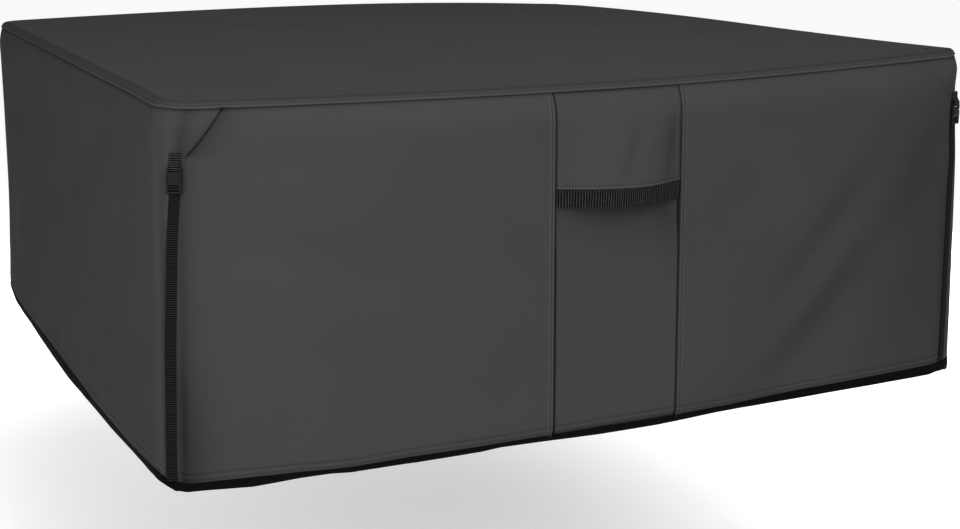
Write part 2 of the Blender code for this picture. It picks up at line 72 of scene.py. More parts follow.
Array = np.ndarray
Thing = bpy.types.Object
Material = bpy.types.Material
Socket = bpy.types.NodeSocket
Pair = tuple[float, float]
Triple = tuple[float, float, float]
Depth = Callable[[Array, Array], Array]
Outwards = Callable[[Array], Array]


# ---------------------------------------------------------------- choices
class Side(Enum):
    """The four sides of the cover, in the order of the perimeter."""

    FRONT = 0
    RIGHT = 1
    REAR = 2
    LEFT = 3

    @property
    def tangent(self) -> tuple[int, int]:
        """Direction of the perimeter along this side, in plan."""
        return ((1, 0), (0, 1), (-1, 0), (0, -1))[self.value]

    @property
    def normal(self) -> tuple[int, int]:
        """Outward direction of this side, in plan."""
        return ((0, -1), (1, 0), (0, 1), (-1, 0))[self.value]


class Hold(Enum):
    """How a sheet of cloth is carried."""

    STRETCHED = "stretched"
    HUNG = "hung"


class Slot(Enum):
    """Material slots of the record."""

    CLOTH = "cloth"
    WEBBING = "webbing"
    PLASTIC = "buckle_plastic"


# ---------------------------------------------------------------- small helpers
def smooth(x: Array) -> Array:
    """A soft step from 0 to 1."""
    x = np.clip(x, 0.0, 1.0)
    return x * x * (3 - 2 * x)


def between(d: Array, drops: Pair) -> Array:
    """A soft step from 0 at the first drop to 1 at the second."""
    start, end = drops
    return smooth((d - start) / (end - start))


def bell(x: Array, width: float) -> Array:
    """A soft bump of height 1 at 0."""
    return np.exp(-((x / width) ** 2))


def streaks(x: Array, rows: Iterable[Triple]) -> Array:
    """Sum of soft streaks, each given by its place, width and amount."""
    return sum(amount * bell(x - place, width) for place, width, amount in rows)


def unit(vectors: Array) -> Array:
    """The vectors at length 1."""
    return vectors / np.maximum(np.linalg.norm(vectors, axis=-1, keepdims=True), 1e-12)


def steps(start: float, end: float, pitch: float) -> Array:
    """Places from start to end, evenly, about a pitch apart."""
    return np.linspace(start, end, max(2, round((end - start) / pitch) + 1))


def run_of(path: Array) -> Array:
    """How far along a path each of its points lies."""
    return np.concatenate([[0.0], np.cumsum(np.linalg.norm(np.diff(path, axis=0), axis=1))])


def on_path(path: Array, run: Array, places: Array) -> Array:
    """Points of a path at places along it."""
    return np.stack([np.interp(places, run, path[:, k]) for k in range(3)], axis=-1)


def add_object(name: str, data: bpy.types.ID) -> Thing:
    """Puts a mesh, a lamp or a camera into the scene."""
    thing = bpy.data.objects.new(name, data)
    bpy.context.scene.collection.objects.link(thing)
    return thing


def write_surface(mesh: bpy.types.Mesh, coordinates: Array) -> None:
    """Gives a mesh the surface coordinates of its points."""
    layer = mesh.uv_layers.new(name="surface")
    loops = np.zeros(len(mesh.loops), dtype=np.int32)
    mesh.loops.foreach_get("vertex_index", loops)
    layer.data.foreach_set("uv", coordinates[loops].astype(np.float32).ravel())


# ---------------------------------------------------------------- finishes
class NodeBoard:
    """Adds nodes and links to one material's tree."""

    def __init__(self, name: str) -> None:
        """Starts a material with its Principled shader.

        Args:
            name: The material's name.
        """
        self.material = bpy.data.materials.new(name)
        self.material.use_nodes = True
        self.tree = self.material.node_tree
        self.shader = self.tree.nodes["Principled BSDF"]

    def add(self, kind: str, **values: object) -> bpy.types.Node:
        """Adds a node.

        Args:
            kind: The node's Blender type.
            values: Its properties, and its inputs where a name starts with in_ and an index.

        Returns:
            The node.
        """
        node = self.tree.nodes.new(kind)
        for name, value in values.items():
            if name.startswith("in_"):
                node.inputs[int(name[3:])].default_value = value
            else:
                setattr(node, name, value)
        return node

    def link(self, source: Socket, target: Socket) -> None:
        """Joins two sockets."""
        self.tree.links.new(source, target)

    def sum(self, kind: str, *inputs: object) -> Socket:
        """A math node.

        Args:
            kind: The operation.
            inputs: Sockets or numbers.

        Returns:
            Its output.
        """
        node = self.add("ShaderNodeMath", operation=kind)
        for place, value in enumerate(inputs):
            if isinstance(value, Socket):
                self.link(value, node.inputs[place])
            else:
                node.inputs[place].default_value = value
        return node.outputs[0]

    def noise(self, scale: float, detail: float = 3.0) -> Socket:
        """Noise on the object's own coordinates, 0 to 1.

        Args:
            scale: Cells in a metre.
            detail: Octaves.

        Returns:
            Its factor.
        """
        place = self.add("ShaderNodeTexCoord")
        node = self.add("ShaderNodeTexNoise")
        node.inputs["Scale"].default_value = scale
        node.inputs["Detail"].default_value = detail
        self.link(place.outputs["Object"], node.inputs["Vector"])
        return node.outputs[0]

    def uv(self) -> tuple[Socket, Socket]:
        """The piece's own surface coordinates, in metres."""
        place = self.add("ShaderNodeTexCoord")
        split = self.add("ShaderNodeSeparateXYZ")
        self.link(place.outputs["UV"], split.inputs[0])
        return split.outputs[0], split.outputs[1]

    def wave(self, along: Socket, pitch: float) -> Socket:
        """A sine from -1 to 1 along a coordinate, with one wave a pitch."""
        return self.sum("SINE", self.sum("MULTIPLY", along, 2 * math.pi / pitch))

    def tone(self, factor: Socket, dark: Sequence[float], light: Sequence[float]) -> None:
        """Sets the base colour from dark at 0 to light at 1.

        Args:
            factor: 0 to 1.
            dark: Linear colour at 0.
            light: Linear colour at 1.
        """
        mix = self.add("ShaderNodeMix", data_type="RGBA", clamp_factor=True)
        mix.inputs[MIX_FROM].default_value = (*dark, 1.0)
        mix.inputs[MIX_TO].default_value = (*light, 1.0)
        self.link(factor, mix.inputs[0])
        self.link(mix.outputs[MIX_OUT], self.shader.inputs["Base Color"])

    def ranged(self, factor: Socket, low: float, high: float, name: str) -> None:
        """Sends a factor, spread from low to high, to one of the shader's inputs."""
        least, most = NOISE_RANGE
        node = self.add("ShaderNodeMapRange", in_1=least, in_2=most, in_3=low, in_4=high)
        self.link(factor, node.inputs[0])
        self.link(node.outputs[0], self.shader.inputs[name])

    def bump(self, *layers: tuple[Socket, float]) -> None:
        """Chains height layers into the shader's normal.

        Args:
            layers: Each a height from -1 to 1 or 0 to 1, and its real depth in metres.
        """
        normal = None
        for height, depth in layers:
            node = self.add("ShaderNodeBump")
            node.inputs["Strength"].default_value = 1.0
            node.inputs["Distance"].default_value = depth
            self.link(height, node.inputs["Height"])
            if normal is not None:
                self.link(normal, node.inputs["Normal"])
            normal = node.outputs[0]
        self.link(normal, self.shader.inputs["Normal"])


@dataclass(frozen=True)
class CoatedCloth:
    """Charcoal polyester with a rubbery coat: fine plain weave, faint marks, paler where rubbing wears it and
    with painted highlight on ridges and edges, darker with painted shade in creases, grooves and under edges.
    """

    name: str = "coated_polyester"
    dark: Triple = (0.0320, 0.0317, 0.0318)
    light: Triple = (0.0368, 0.0364, 0.0366)
    # paler colour: rubbing, and painted highlight on ridges and edges
    light_and_wear: Triple = (0.090, 0.089, 0.089)
    # near black: painted shade in creases, grooves and under edges
    painted_shade: Triple = (0.0025, 0.0025, 0.0026)
    thread: float = 0.0006
    gloss: float = 0.004

    def make(self) -> Material:
        """Builds the material."""
        board = NodeBoard(self.name)
        shader = board.shader
        shader.inputs["Specular IOR Level"].default_value = self.gloss
        shader.inputs["Metallic"].default_value = 0.0
        cloud = board.noise(5.0, 4.0)
        board.tone(cloud, self.dark, self.light)
        painted_light_and_wear = board.add("ShaderNodeAttribute", attribute_name="painted_light_and_wear")
        # above 0 the cloth is paler, partly from rubbing and partly with painted highlight; below 0 it is
        # darker with painted shade, in creases, grooves and under edges
        for colour, way in ((self.light_and_wear, 1.0), (self.painted_shade, -1.0)):
            mix = board.add("ShaderNodeMix", data_type="RGBA", clamp_factor=True)
            mix.inputs[MIX_TO].default_value = (*colour, 1.0)
            board.link(shader.inputs["Base Color"].links[0].from_socket, mix.inputs[MIX_FROM])
            board.link(board.sum("MULTIPLY", painted_light_and_wear.outputs["Fac"], way), mix.inputs[0])
            board.link(mix.outputs[MIX_OUT], shader.inputs["Base Color"])
        board.ranged(board.noise(9.0), 0.66, 0.78, "Roughness")
        u, v = board.uv()
        weave = board.sum("MULTIPLY", board.wave(u, self.thread), board.wave(v, self.thread))
        dents, grain = board.noise(14.0, 3.0), board.noise(150.0, 2.0)
        board.bump((dents, 0.0006), (grain, 0.0001), (weave, 0.00004))
        return board.material


@dataclass(frozen=True)
class RibbedWebbing:
    """Black woven tape with ribs along or across it, with painted highlight on the ribs' crests, stronger on
    some than on others.
    """

    name: str
    pitch: float
    along: bool
    depth: float = 0.00018
    dark: Triple = (0.0033, 0.0033, 0.0035)
    light: Triple = (0.0165, 0.0165, 0.0168)
    gloss: float = 0.03
    sharp: float = 2.0

    def make(self) -> Material:
        """Builds the material."""
        board = NodeBoard(self.name)
        shader = board.shader
        shader.inputs["Specular IOR Level"].default_value = self.gloss
        u, v = board.uv()
        rib = board.wave(v if self.along else u, self.pitch)
        twill = board.sum("MULTIPLY", board.wave(u, 0.0011), board.wave(v, 0.0011))
        # painted highlight on the ribs' crests and painted shade between them, made uneven by noise
        top = board.sum("MULTIPLY_ADD", rib, 0.5, 0.5)
        top = board.sum("POWER", top, self.sharp)
        uneven = board.noise(140.0, 2.0)
        board.tone(board.sum("MULTIPLY", top, uneven), self.dark, self.light)
        board.ranged(uneven, 0.62, 0.82, "Roughness")
        board.bump((rib, self.depth), (twill, 0.00006))
        return board.material


@dataclass(frozen=True)
class MouldedPlastic:
    """Black acetal with a fine spark texture, scuffed paler here and there."""

    name: str = "moulded_buckle"
    dark: Triple = (0.0036, 0.0036, 0.0040)
    light: Triple = (0.0080, 0.0080, 0.0086)
    gloss: float = 0.11

    def make(self) -> Material:
        """Builds the material."""
        board = NodeBoard(self.name)
        board.shader.inputs["Specular IOR Level"].default_value = self.gloss
        scuffs = board.noise(220.0, 4.0)
        board.tone(scuffs, self.dark, self.light)
        board.ranged(board.noise(500.0), 0.30, 0.46, "Roughness")
        board.bump((board.noise(2600.0, 1.0), 0.00003))
        return board.material


@dataclass(frozen=True)
class SewingThread:
    """Twisted polyester thread of the cloth's own colour."""

    name: str = "sewing_thread"
    dark: Triple = (0.028, 0.028, 0.028)
    light: Triple = (0.050, 0.050, 0.050)

    def make(self) -> Material:
        """Builds the material."""
        board = NodeBoard(self.name)
        board.shader.inputs["Specular IOR Level"].default_value = 0.2
        twist = board.noise(900.0, 1.0)
        board.tone(twist, self.dark, self.light)
        board.ranged(twist, 0.5, 0.7, "Roughness")
        board.bump((twist, 0.00008))
        return board.material


@dataclass(frozen=True)
class PaleFloor:
    """Matt white studio floor with a faint glow of its own."""

    name: str = "studio_floor"
    shade: float = 0.95
    glow: float = 0.28

    def make(self) -> Material:
        """Builds the material."""
        board = NodeBoard(self.name)
        board.shader.inputs["Specular IOR Level"].default_value = 0.0
        board.shader.inputs["Roughness"].default_value = 0.9
        tint = (self.shade, self.shade, self.shade)
        board.tone(board.noise(0.7), tint, tuple(c + 0.01 for c in tint))
        board.shader.inputs["Emission Color"].default_value = (1.0, 1.0, 1.0, 1.0)
        board.shader.inputs["Emission Strength"].default_value = self.glow
        return board.material


def made(finish: type, **values: object) -> Material:
    """A field that holds a finish, made together with the class that has the field.

    Args:
        finish: The finish's class.
        values: What differs from its defaults.

    Returns:
        The field.
    """
    return field(default_factory=lambda: finish(**values).make())


@dataclass
class Wardrobe:
    """Every finish, made once."""

    cloth: Material = made(CoatedCloth)
    # each webbing's light colour is the painted highlight on its ribs' crests
    strap: Material = made(
        RibbedWebbing, name="strap_webbing", pitch=0.0042, along=True,
        dark=(0.0014, 0.0014, 0.0015), light=(0.0240, 0.0240, 0.0244),
    )
    tab: Material = made(
        RibbedWebbing, name="tab_webbing", pitch=0.0042, along=True, depth=0.0004,
        dark=(0.0012, 0.0012, 0.0013), light=(0.070, 0.070, 0.071), sharp=3.0,
    )
    handle: Material = made(
        RibbedWebbing, name="handle_webbing", pitch=0.0050, along=False, depth=0.0004,
        dark=(0.0018, 0.0018, 0.0019), light=(0.060, 0.060, 0.061), sharp=3.0,
    )
    tape: Material = made(
        RibbedWebbing, name="binding_tape", pitch=0.0018, along=False, depth=0.0001,
        dark=(0.0016, 0.0016, 0.0017), light=(0.0100, 0.0100, 0.0102), gloss=0.004,
    )
    plastic: Material = made(MouldedPlastic)
    thread: Material = made(SewingThread)
    floor: Material = made(PaleFloor)


# ---------------------------------------------------------------- the cover's surface
@dataclass(frozen=True)
class Fold:
    """A soft fold along a curve of three places, each (s, drop), or (x, y) on the top."""

    start: Pair
    middle: Pair
    end: Pair
    width: float
    height: float

    def lift(self, a: Array, b: Array) -> Array:
        """Height that the fold adds.

        Args:
            a: First coordinate of the places.
            b: Second coordinate.

        Returns:
            The height at each place, minus in a trough.
        """
        u = np.linspace(0.0, 1.0, 81)
        lines = []
        for first, way, last in zip(self.start, self.middle, self.end):
            bend = 2 * way - (first + last) / 2
            lines.append((1 - u) ** 2 * first + 2 * u * (1 - u) * bend + u * u * last)
        x, y = lines
        low_a, high_a = x.min() - 3 * self.width, x.max() + 3 * self.width
        low_b, high_b = y.min() - 3 * self.width, y.max() + 3 * self.width
        near = (a > low_a) & (a < high_a) & (b > low_b) & (b < high_b)
        height = np.zeros(np.shape(a))
        if near.any():
            apart = np.hypot(a[near][:, None] - x, b[near][:, None] - y)
            fade = np.maximum(np.sin(np.pi * u[apart.argmin(axis=-1)]) ** 0.7, 0.15)
            height[near] = self.height * fade * bell(apart.min(axis=-1), self.width)
        return height


@dataclass(frozen=True)
class CornerForm:
    """One corner: its radii down the wall, its flare, and how much lower its hem hangs.

    strap_places says by drop how far round the bend, onwards in p, its strap is sewn. dip is how far
    the top is lower there, pleat_share how strong its pleat is, and press how much deeper than the
    others it is pressed in under its strap.
    """

    name: str
    top: float
    strap: float
    hem: float
    flare_halfway: float
    flare: float
    hem_drop: float
    strap_places: tuple[Pair, ...] = ((0.0, 0.0), (1.0, 0.0))
    dip: float = 0.0
    pleat_share: float = 1.0
    press: float = 0.0


@dataclass(frozen=True)
class SideForm:
    """One side: bow of the top seam and of the hem, and sag of the top seam."""

    seam_bow: float
    hem_bow: float
    sag: float


FOLDS: dict[Side, tuple[Fold, ...]] = {
    Side.FRONT: (
        Fold((0.76, 0.09), (0.58, 0.30), (0.25, 0.69), 0.050, -0.011),
        Fold((0.80, 0.20), (0.60, 0.37), (0.28, 0.68), 0.040, 0.007),
        Fold((0.66, 0.34), (0.52, 0.53), (0.34, 0.70), 0.050, -0.009),
        Fold((0.74, 0.40), (0.66, 0.52), (0.56, 0.69), 0.045, 0.005),
        Fold((-0.81, 0.06), (-0.73, 0.25), (-0.38, 0.36), 0.050, -0.009),
        Fold((-0.80, 0.26), (-0.72, 0.40), (-0.60, 0.52), 0.055, -0.007),
        Fold((-0.70, 0.12), (-0.60, 0.20), (-0.46, 0.26), 0.060, 0.005),
        Fold((-0.50, 0.68), (-0.34, 0.60), (-0.18, 0.68), 0.070, -0.005),
    ),
    Side.LEFT: (
        Fold((0.80, 0.05), (0.45, 0.12), (0.05, 0.34), 0.070, -0.010),
        Fold((0.78, 0.16), (0.50, 0.26), (0.28, 0.50), 0.070, 0.006),
        Fold((-0.10, 0.10), (-0.25, 0.34), (-0.20, 0.62), 0.110, -0.009),
        Fold((-0.52, 0.14), (-0.50, 0.36), (-0.56, 0.60), 0.100, 0.007),
    ),
    Side.RIGHT: (
        Fold((-0.74, 0.14), (-0.48, 0.34), (-0.12, 0.58), 0.080, -0.008),
        Fold((0.40, 0.16), (0.34, 0.40), (0.42, 0.66), 0.110, -0.008),
    ),
    Side.REAR: (
        Fold((-0.56, 0.12), (-0.38, 0.36), (-0.42, 0.62), 0.110, -0.008),
        Fold((0.46, 0.14), (0.52, 0.38), (0.40, 0.64), 0.110, -0.008),
    ),
}
# painted shade where the cloth is darker, below 0, and painted highlight where it is paler, above 0: by (s,
# drop), with the amount as the height
SHADES: dict[Side, tuple[Fold, ...]] = {
    Side.FRONT: (
        Fold((-0.83, -0.20), (-0.83, 0.37), (-0.83, 0.94), 0.028, -0.40),
        Fold((-0.84, 0.45), (-0.825, 0.64), (-0.80, 0.84), 0.050, -0.35),
        Fold((0.74, 0.02), (0.76, 0.38), (0.72, 0.80), 0.130, -0.26),
        Fold((0.83, 0.22), (0.825, 0.47), (0.82, 0.76), 0.030, -0.30),
        Fold((0.81, 0.04), (0.75, 0.19), (0.60, 0.38), 0.035, -0.15),
        Fold((0.815, 0.004), (0.862, 0.018), (0.884, 0.060), 0.007, -0.24),
        Fold((0.56, 0.04), (0.66, 0.06), (0.76, 0.04), 0.030, 0.05),
        Fold((-0.886, 0.22), (-0.886, 0.56), (-0.886, 0.90), 0.009, -0.34),
        Fold((0.66, 0.20), (0.50, 0.345), (0.36, 0.46), 0.035, -0.14),
        Fold((0.62, 0.36), (0.50, 0.52), (0.24, 0.69), 0.045, -0.20),
        Fold((-0.72, 0.042), (-0.05, 0.042), (0.66, 0.040), 0.020, 0.04),
        Fold((-0.86, 0.690), (0.00, 0.690), (0.86, 0.690), 0.030, -0.10),
    ),
    Side.LEFT: (
        Fold((0.885, 0.02), (0.875, 0.40), (0.88, 0.86), 0.018, -0.32),
    ),
    Side.RIGHT: (),
    Side.REAR: (),
}
# painted shadow under the handle, on the middle panel: by (s, drop), with the amount as the height
MIDDLE_SHADES: tuple[Fold, ...] = (
    Fold((-0.20, 0.225), (0.02, 0.245), (0.24, 0.260), 0.045, -0.16),
    Fold((0.10, 0.22), (0.115, 0.27), (0.12, 0.36), 0.030, -0.20),
)
TOP_FOLDS: tuple[Fold, ...] = (
    Fold((0.34, 0.30), (0.50, -0.06), (0.64, -0.52), 0.060, -0.005),
    Fold((-0.62, 0.62), (-0.20, 0.40), (0.26, 0.46), 0.120, -0.006),
)


@dataclass
class CoverForm:
    """The cloth's outer face, as places (p, d, out).

    p runs round the perimeter, 0 at the middle of the front and growing towards +X. d is the drop
    below the top seam, and out a distance outwards.
    """

    span: float = 1.80
    skirt: float = 0.71
    cloth: float = 0.0015
    crown: float = 0.020
    top_rise: float = 0.0010
    sag_reach: float = 0.5
    layer: float = 0.0024
    shoulder: float = 0.022
    shoulder_drop: float = 0.070
    shoulder_fade: float = 0.25
    shoulder_corner: float = 0.6
    binding: float = 0.026
    tab_top: float = 0.086
    seat_depth: float = 0.010
    seat_width: float = 0.022
    seat_drops: Pair = (0.03, 0.08)
    corner_zone: float = 0.090
    corner_lap: float = 0.0675
    corner_under: float = 0.0225
    corner_blend: float = 0.300
    corner_drops: Pair = (0.15, 0.50)
    # distance along the cloth from a corner's middle at the seam and at the end, and the end's drop
    pleat: Triple = (0.101, 0.0275, 0.096)
    pleat_starts: Pair = (0.002, 0.010)
    pleat_stops: Pair = (-0.010, 0.004)
    # across a pleat, each a height and its reach: the wall that sinks towards it and the roll over it
    pleat_wall: Pair = (-0.0048, 0.014)
    pleat_roll: Pair = (0.0016, 0.012)
    # place, width and amount of its groove, and of the painted shade line in it
    pleat_groove: Triple = (0.0012, 0.0020, -0.0010)
    pleat_line: Triple = (0.0012, 0.0020, -0.10)
    # its painted shade, and how far that reaches over the wall and over the roll
    pleat_shade: Triple = (-0.42, 0.030, 0.007)
    press_drops: Pair = (0.16, 0.24)
    curl_reach: float = 0.048
    dip_reach: float = 0.9
    corners: tuple[CornerForm, ...] = (
        CornerForm(
            "front_right", 0.034, 0.027, 0.026, 0.0090, 0.0155, 0.034,
            ((0.09, -0.004), (0.16, -0.010), (0.26, -0.016), (0.70, -0.021)), -0.009, 0.15, 0.007,
        ),
        CornerForm("rear_right", 0.054, 0.036, 0.060, 0.015, 0.019, 0.030, dip=0.014),
        CornerForm("rear_left", 0.054, 0.045, 0.085, 0.004, 0.023, 0.045, dip=-0.003),
        CornerForm(
            "front_left", 0.054, 0.037, 0.034, 0.013, 0.031, 0.000,
            ((0.09, 0.0150), (0.16, 0.0130), (0.25, 0.0075), (0.45, 0.0020), (0.60, 0.0010), (0.70, 0.0010)),
        ),
    )
    sides: tuple[SideForm, ...] = (
        SideForm(0.031, 0.014, 0.011),
        SideForm(0.040, 0.027, 0.004),
        SideForm(0.014, 0.020, -0.014),
        SideForm(0.002, 0.008, -0.005),
    )
    # how far the hem curls under, in degrees, along each side by s
    curls: tuple[tuple[Pair, ...], ...] = (
        ((-0.90, 34), (-0.79, 50), (-0.75, 44), (-0.72, 40), (-0.66, 58), (-0.60, 76), (-0.56, 68),
         (-0.43, 60), (-0.35, 62), (-0.29, 64), (-0.25, 72), (-0.20, 68), (-0.03, 48), (0.11, 48),
         (0.26, 60), (0.31, 56), (0.47, 36), (0.55, 36), (0.62, 32), (0.69, 28), (0.90, 10)),
        ((-0.90, 0), (-0.5, 30), (0.0, 46), (0.4, 20), (0.9, 34)),
        ((-0.90, 34), (-0.4, 14), (0.1, 44), (0.5, 26), (0.9, 24)),
        ((-0.90, 24), (-0.56, 24), (-0.46, 26), (-0.24, 12), (0.01, 4), (0.10, 4), (0.31, 20), (0.36, 28),
         (0.55, 30), (0.67, 36), (0.73, 32), (0.77, 28), (0.90, 34)),
    )
    # how much lower the hem hangs than straight from corner to corner, along each side by s
    hangs: tuple[tuple[Pair, ...], ...] = (
        ((-0.90, 0.0090), (-0.85, 0.0072), (-0.79, 0.0085), (-0.73, 0.009), (-0.65, 0.0125), (-0.60, 0.0175),
         (-0.56, 0.0175), (-0.51, 0.0155), (-0.45, 0.013), (-0.25, 0.011), (-0.20, 0.0095), (-0.03, 0.005),
         (0.11, 0.0045), (0.26, 0.004), (0.31, 0.002), (0.47, -0.004), (0.69, -0.003), (0.90, 0.000)),
        ((-0.90, 0.000), (0.90, 0.0)),
        ((-0.90, 0.0), (0.90, 0.0)),
        ((-0.90, 0.000), (-0.60, 0.007), (-0.46, 0.0085), (-0.20, 0.003), (0.01, -0.001), (0.10, 0.000),
         (0.31, 0.003), (0.36, 0.006), (0.55, 0.001), (0.67, -0.0035), (0.73, -0.007), (0.78, -0.0090),
         (0.82, -0.0065), (0.86, 0.0015), (0.90, 0.0090)),
    )

    @property
    def half(self) -> float:
        """Half of a side."""
        return self.span / 2

    @property
    def around(self) -> float:
        """Length of the perimeter coordinate."""
        return 4 * self.span

    def ends(self, side: Side) -> tuple[CornerForm, CornerForm]:
        """The corners before and after a side."""
        return self.corners[side.value - 1], self.corners[side.value]

    def corner_radius(self, corner: CornerForm, d: Array) -> Array:
        """Radius of a corner: wide at the top, drawn in at the buckle, looser below."""
        upper = corner.top + (corner.strap - corner.top) * smooth(d / self.tab_top)
        return upper + (corner.hem - corner.strap) * between(d, self.corner_drops)

    def strap_place(self, corner: CornerForm, d: Array) -> Array:
        """How far round the bend a corner's strap lies, at a drop."""
        return np.interp(d, *np.array(corner.strap_places).T)

    def corner_flare(self, corner: CornerForm, d: Array) -> Array:
        """How far a corner stands outside the top's own square."""
        t = d / self.skirt
        return 4 * corner.flare_halfway * t * (1 - t) + corner.flare * t * (2 * t - 1)

    def pleat_distance(self, d: Array) -> Array:
        """How far along the cloth from a corner's middle its pleat runs, at a drop."""
        top, end, drop = self.pleat
        return top + (end - top) * np.clip(d / drop, 0, 1)

    def pleat_reach(self, corner: CornerForm, d: Array) -> Array:
        """The same in p: the inverse of from_corner()."""
        distance, radius = self.pleat_distance(d), self.corner_radius(corner, d)
        arc, zone, blend = radius * HALF_BEND, self.corner_zone, self.corner_blend
        beyond = zone + (distance - arc) * (blend - zone) / (blend - radius)
        return np.where(distance < arc, zone * distance / arc, beyond)

    def from_corner(self, reach: Array, radius: Array) -> Array:
        """Distance along the cloth from a corner's middle, for a reach in p."""
        arc, zone, blend = radius * HALF_BEND, self.corner_zone, self.corner_blend
        straight = (reach - zone) * (blend - radius) / (blend - zone)
        beyond = np.where(reach < blend, arc + straight, arc + reach - radius)
        return np.where(reach < zone, arc * reach / zone, beyond)

    def pleat_fade(self, d: Array) -> Array:
        """A pleat's strength at a drop: none at the seam nor past its end."""
        stops = tuple(self.pleat[2] + step for step in self.pleat_stops)
        return between(d, self.pleat_starts) * (1 - between(d, stops))

    def shade(self, side: Side, s: Array, d: Array) -> Array:
        """How much painted shade darkens, and painted highlight makes paler, the cloth of a wall, with
        painted shade along its pleats.

        Args:
            side: The wall's side.
            s: Along it, from minus half to half.
            d: Below the top seam.

        Returns:
            The amount, below 0 where it is darker.
        """
        amount = np.zeros_like(s)
        for fold in SHADES[side]:
            amount += fold.lift(s, d)
        if side in (Side.FRONT, Side.REAR):
            before, after = self.ends(side)
            radius = np.where(s > 0, self.corner_radius(after, d), self.corner_radius(before, d))
            x = self.from_corner(self.half - np.abs(s), radius) - self.pleat_distance(d)
            depth, over_wall, over_roll = self.pleat_shade
            valley = depth * np.exp(-np.where(x > 0, x / over_wall, -x / over_roll))
            share = np.where(s > 0, after.pleat_share, before.pleat_share)
            amount += self.pleat_fade(d) * share * (streaks(x, [self.pleat_line]) + valley)
        return amount

    def crease(self, reach: Array, radius: Array, d: Array) -> Array:
        """Height of a pleat: cloth from the corner rolls over a groove, and the wall sinks towards it."""
        x = self.from_corner(reach, radius) - self.pleat_distance(d)
        middle = self.pleat_groove[0]
        over = smooth((middle - x) / (2 * middle))
        (sink, wall_reach), (rise, roll_reach) = self.pleat_wall, self.pleat_roll
        wall_part = sink * np.exp(-np.clip(x, 0, None) / wall_reach)
        roll_part = rise * np.exp(-np.clip(-x, 0, None) / roll_reach)
        groove = streaks(x, [self.pleat_groove])
        return self.pleat_fade(d) * (wall_part * (1 - over) + roll_part * over + groove)

    def relief(self, side: Side, s: Array, d: Array, radius: Array) -> Array:
        """Folds and pleats of one side, outwards."""
        before, after = self.ends(side)
        height = np.zeros_like(s)
        for fold in FOLDS[side]:
            height += fold.lift(s, d)
        if side in (Side.FRONT, Side.REAR):
            share = np.where(s > 0, after.pleat_share, before.pleat_share)
            height += share * self.crease(self.half - np.abs(s), radius, d)
        return height

    def curl(self, side: Side, s: Array, d: Array) -> tuple[Array, Array]:
        """The hem's roll: how far in it goes and its new drop."""
        places, degrees = np.array(self.curls[side.value]).T
        turn = np.radians(np.interp(s, places, degrees)) + 1e-4
        start = self.skirt - self.curl_reach
        t = np.clip((d - start) / self.curl_reach, 0, None)
        inward = self.curl_reach / turn * (1 - np.cos(turn * t))
        drop = np.where(d > start, start + self.curl_reach / turn * np.sin(turn * t), d)
        return inward, drop

    def by_side(self, p: Array) -> Iterator[tuple[Side, Array, Array]]:
        """Sorts places by the side that they lie on.

        Args:
            p: Round the perimeter.

        Yields:
            A side, which of the places are on it, and their s.
        """
        p = (p + self.half) % self.around
        numbers = np.minimum((p // self.span).astype(int), 3)
        for side in Side:
            mine = numbers == side.value
            if mine.any():
                yield side, mine, p[mine] - side.value * self.span - self.half

    def wall(self, p: Array, d: Array, out: Array | float = 0.0) -> Array:
        """Places on the walls.

        Args:
            p: Round the perimeter.
            d: Below the top seam.
            out: Outwards from the cloth's face.

        Returns:
            Points, with x, y, z last.
        """
        p, d, out = np.broadcast_arrays(*(np.asarray(v, float) for v in (p, d, out)))
        points = np.zeros(p.shape + (3,))
        for side, mine, s in self.by_side(p):
            points[mine] = self.side_wall(side, s, d[mine], out[mine])
        return points

    def shading(self, p: Array, d: Array) -> Array:
        """shade() at places round the perimeter."""
        amount = np.zeros_like(p)
        for side, mine, s in self.by_side(p):
            amount[mine] = self.shade(side, s, d[mine])
        return amount

    def side_wall(self, side: Side, s: Array, d: Array, out: Array) -> Array:
        """wall() on one side.

        Args:
            side: The side.
            s: Along it, from minus half to half.
            d: Below the top seam.
            out: Outwards from the cloth's face.

        Returns:
            Points, with x, y, z last.
        """
        before, after = self.ends(side)
        form = self.sides[side.value]
        t = d / self.skirt
        hang = np.interp(s, *np.array(self.hangs[side.value]).T) * t * t
        mix = (s / self.half + 1) / 2
        arch = 1 - (s / self.half) ** 2
        reach = self.half - np.abs(s)
        radius = np.where(s > 0, self.corner_radius(after, d), self.corner_radius(before, d))
        flare = self.corner_flare(before, d) * (1 - mix) + self.corner_flare(after, d) * mix
        lower = before.hem_drop * (1 - mix) + after.hem_drop * mix
        zone, blend = self.corner_zone, self.corner_blend
        turn = HALF_BEND * np.clip(1 - reach / zone, 0.0, 1.0)
        straight = radius + (reach - zone) * (blend - radius) / (blend - zone)
        inset = np.where(reach < blend, straight, reach)
        inset = np.where(reach < zone, radius * (1 - np.sin(turn)), inset)
        along = np.sign(s) * (self.half - inset) * (1 + flare / self.half)
        away = self.half + flare - radius * (1 - np.cos(turn))
        swell = 1 - (1 - np.clip(d / self.shoulder_drop, 0.0, 1.0)) ** 2
        share = self.shoulder_corner + (1 - self.shoulder_corner) * smooth(reach / self.shoulder_fade)
        bow = (form.seam_bow + (form.hem_bow - form.seam_bow) * t) * arch
        place = np.where(s > 0, -self.strap_place(after, d), self.strap_place(before, d))
        from_strap = self.from_corner(reach, radius) - place
        press = np.where(s > 0, after.press, before.press) * (1 - between(d, self.press_drops))
        seat = (self.seat_depth + press) * bell(from_strap, self.seat_width)
        seat = seat * between(d, self.seat_drops)
        inward, drop = self.curl(side, s, d)
        folds = self.relief(side, s, d, radius)
        outwards = bow + self.shoulder * swell * share - seat + folds + out - inward
        along = along + np.sign(s) * np.sin(turn) * outwards
        away = away + np.cos(turn) * outwards
        x = side.tangent[0] * along + side.normal[0] * away
        y = side.tangent[1] * along + side.normal[1] * away
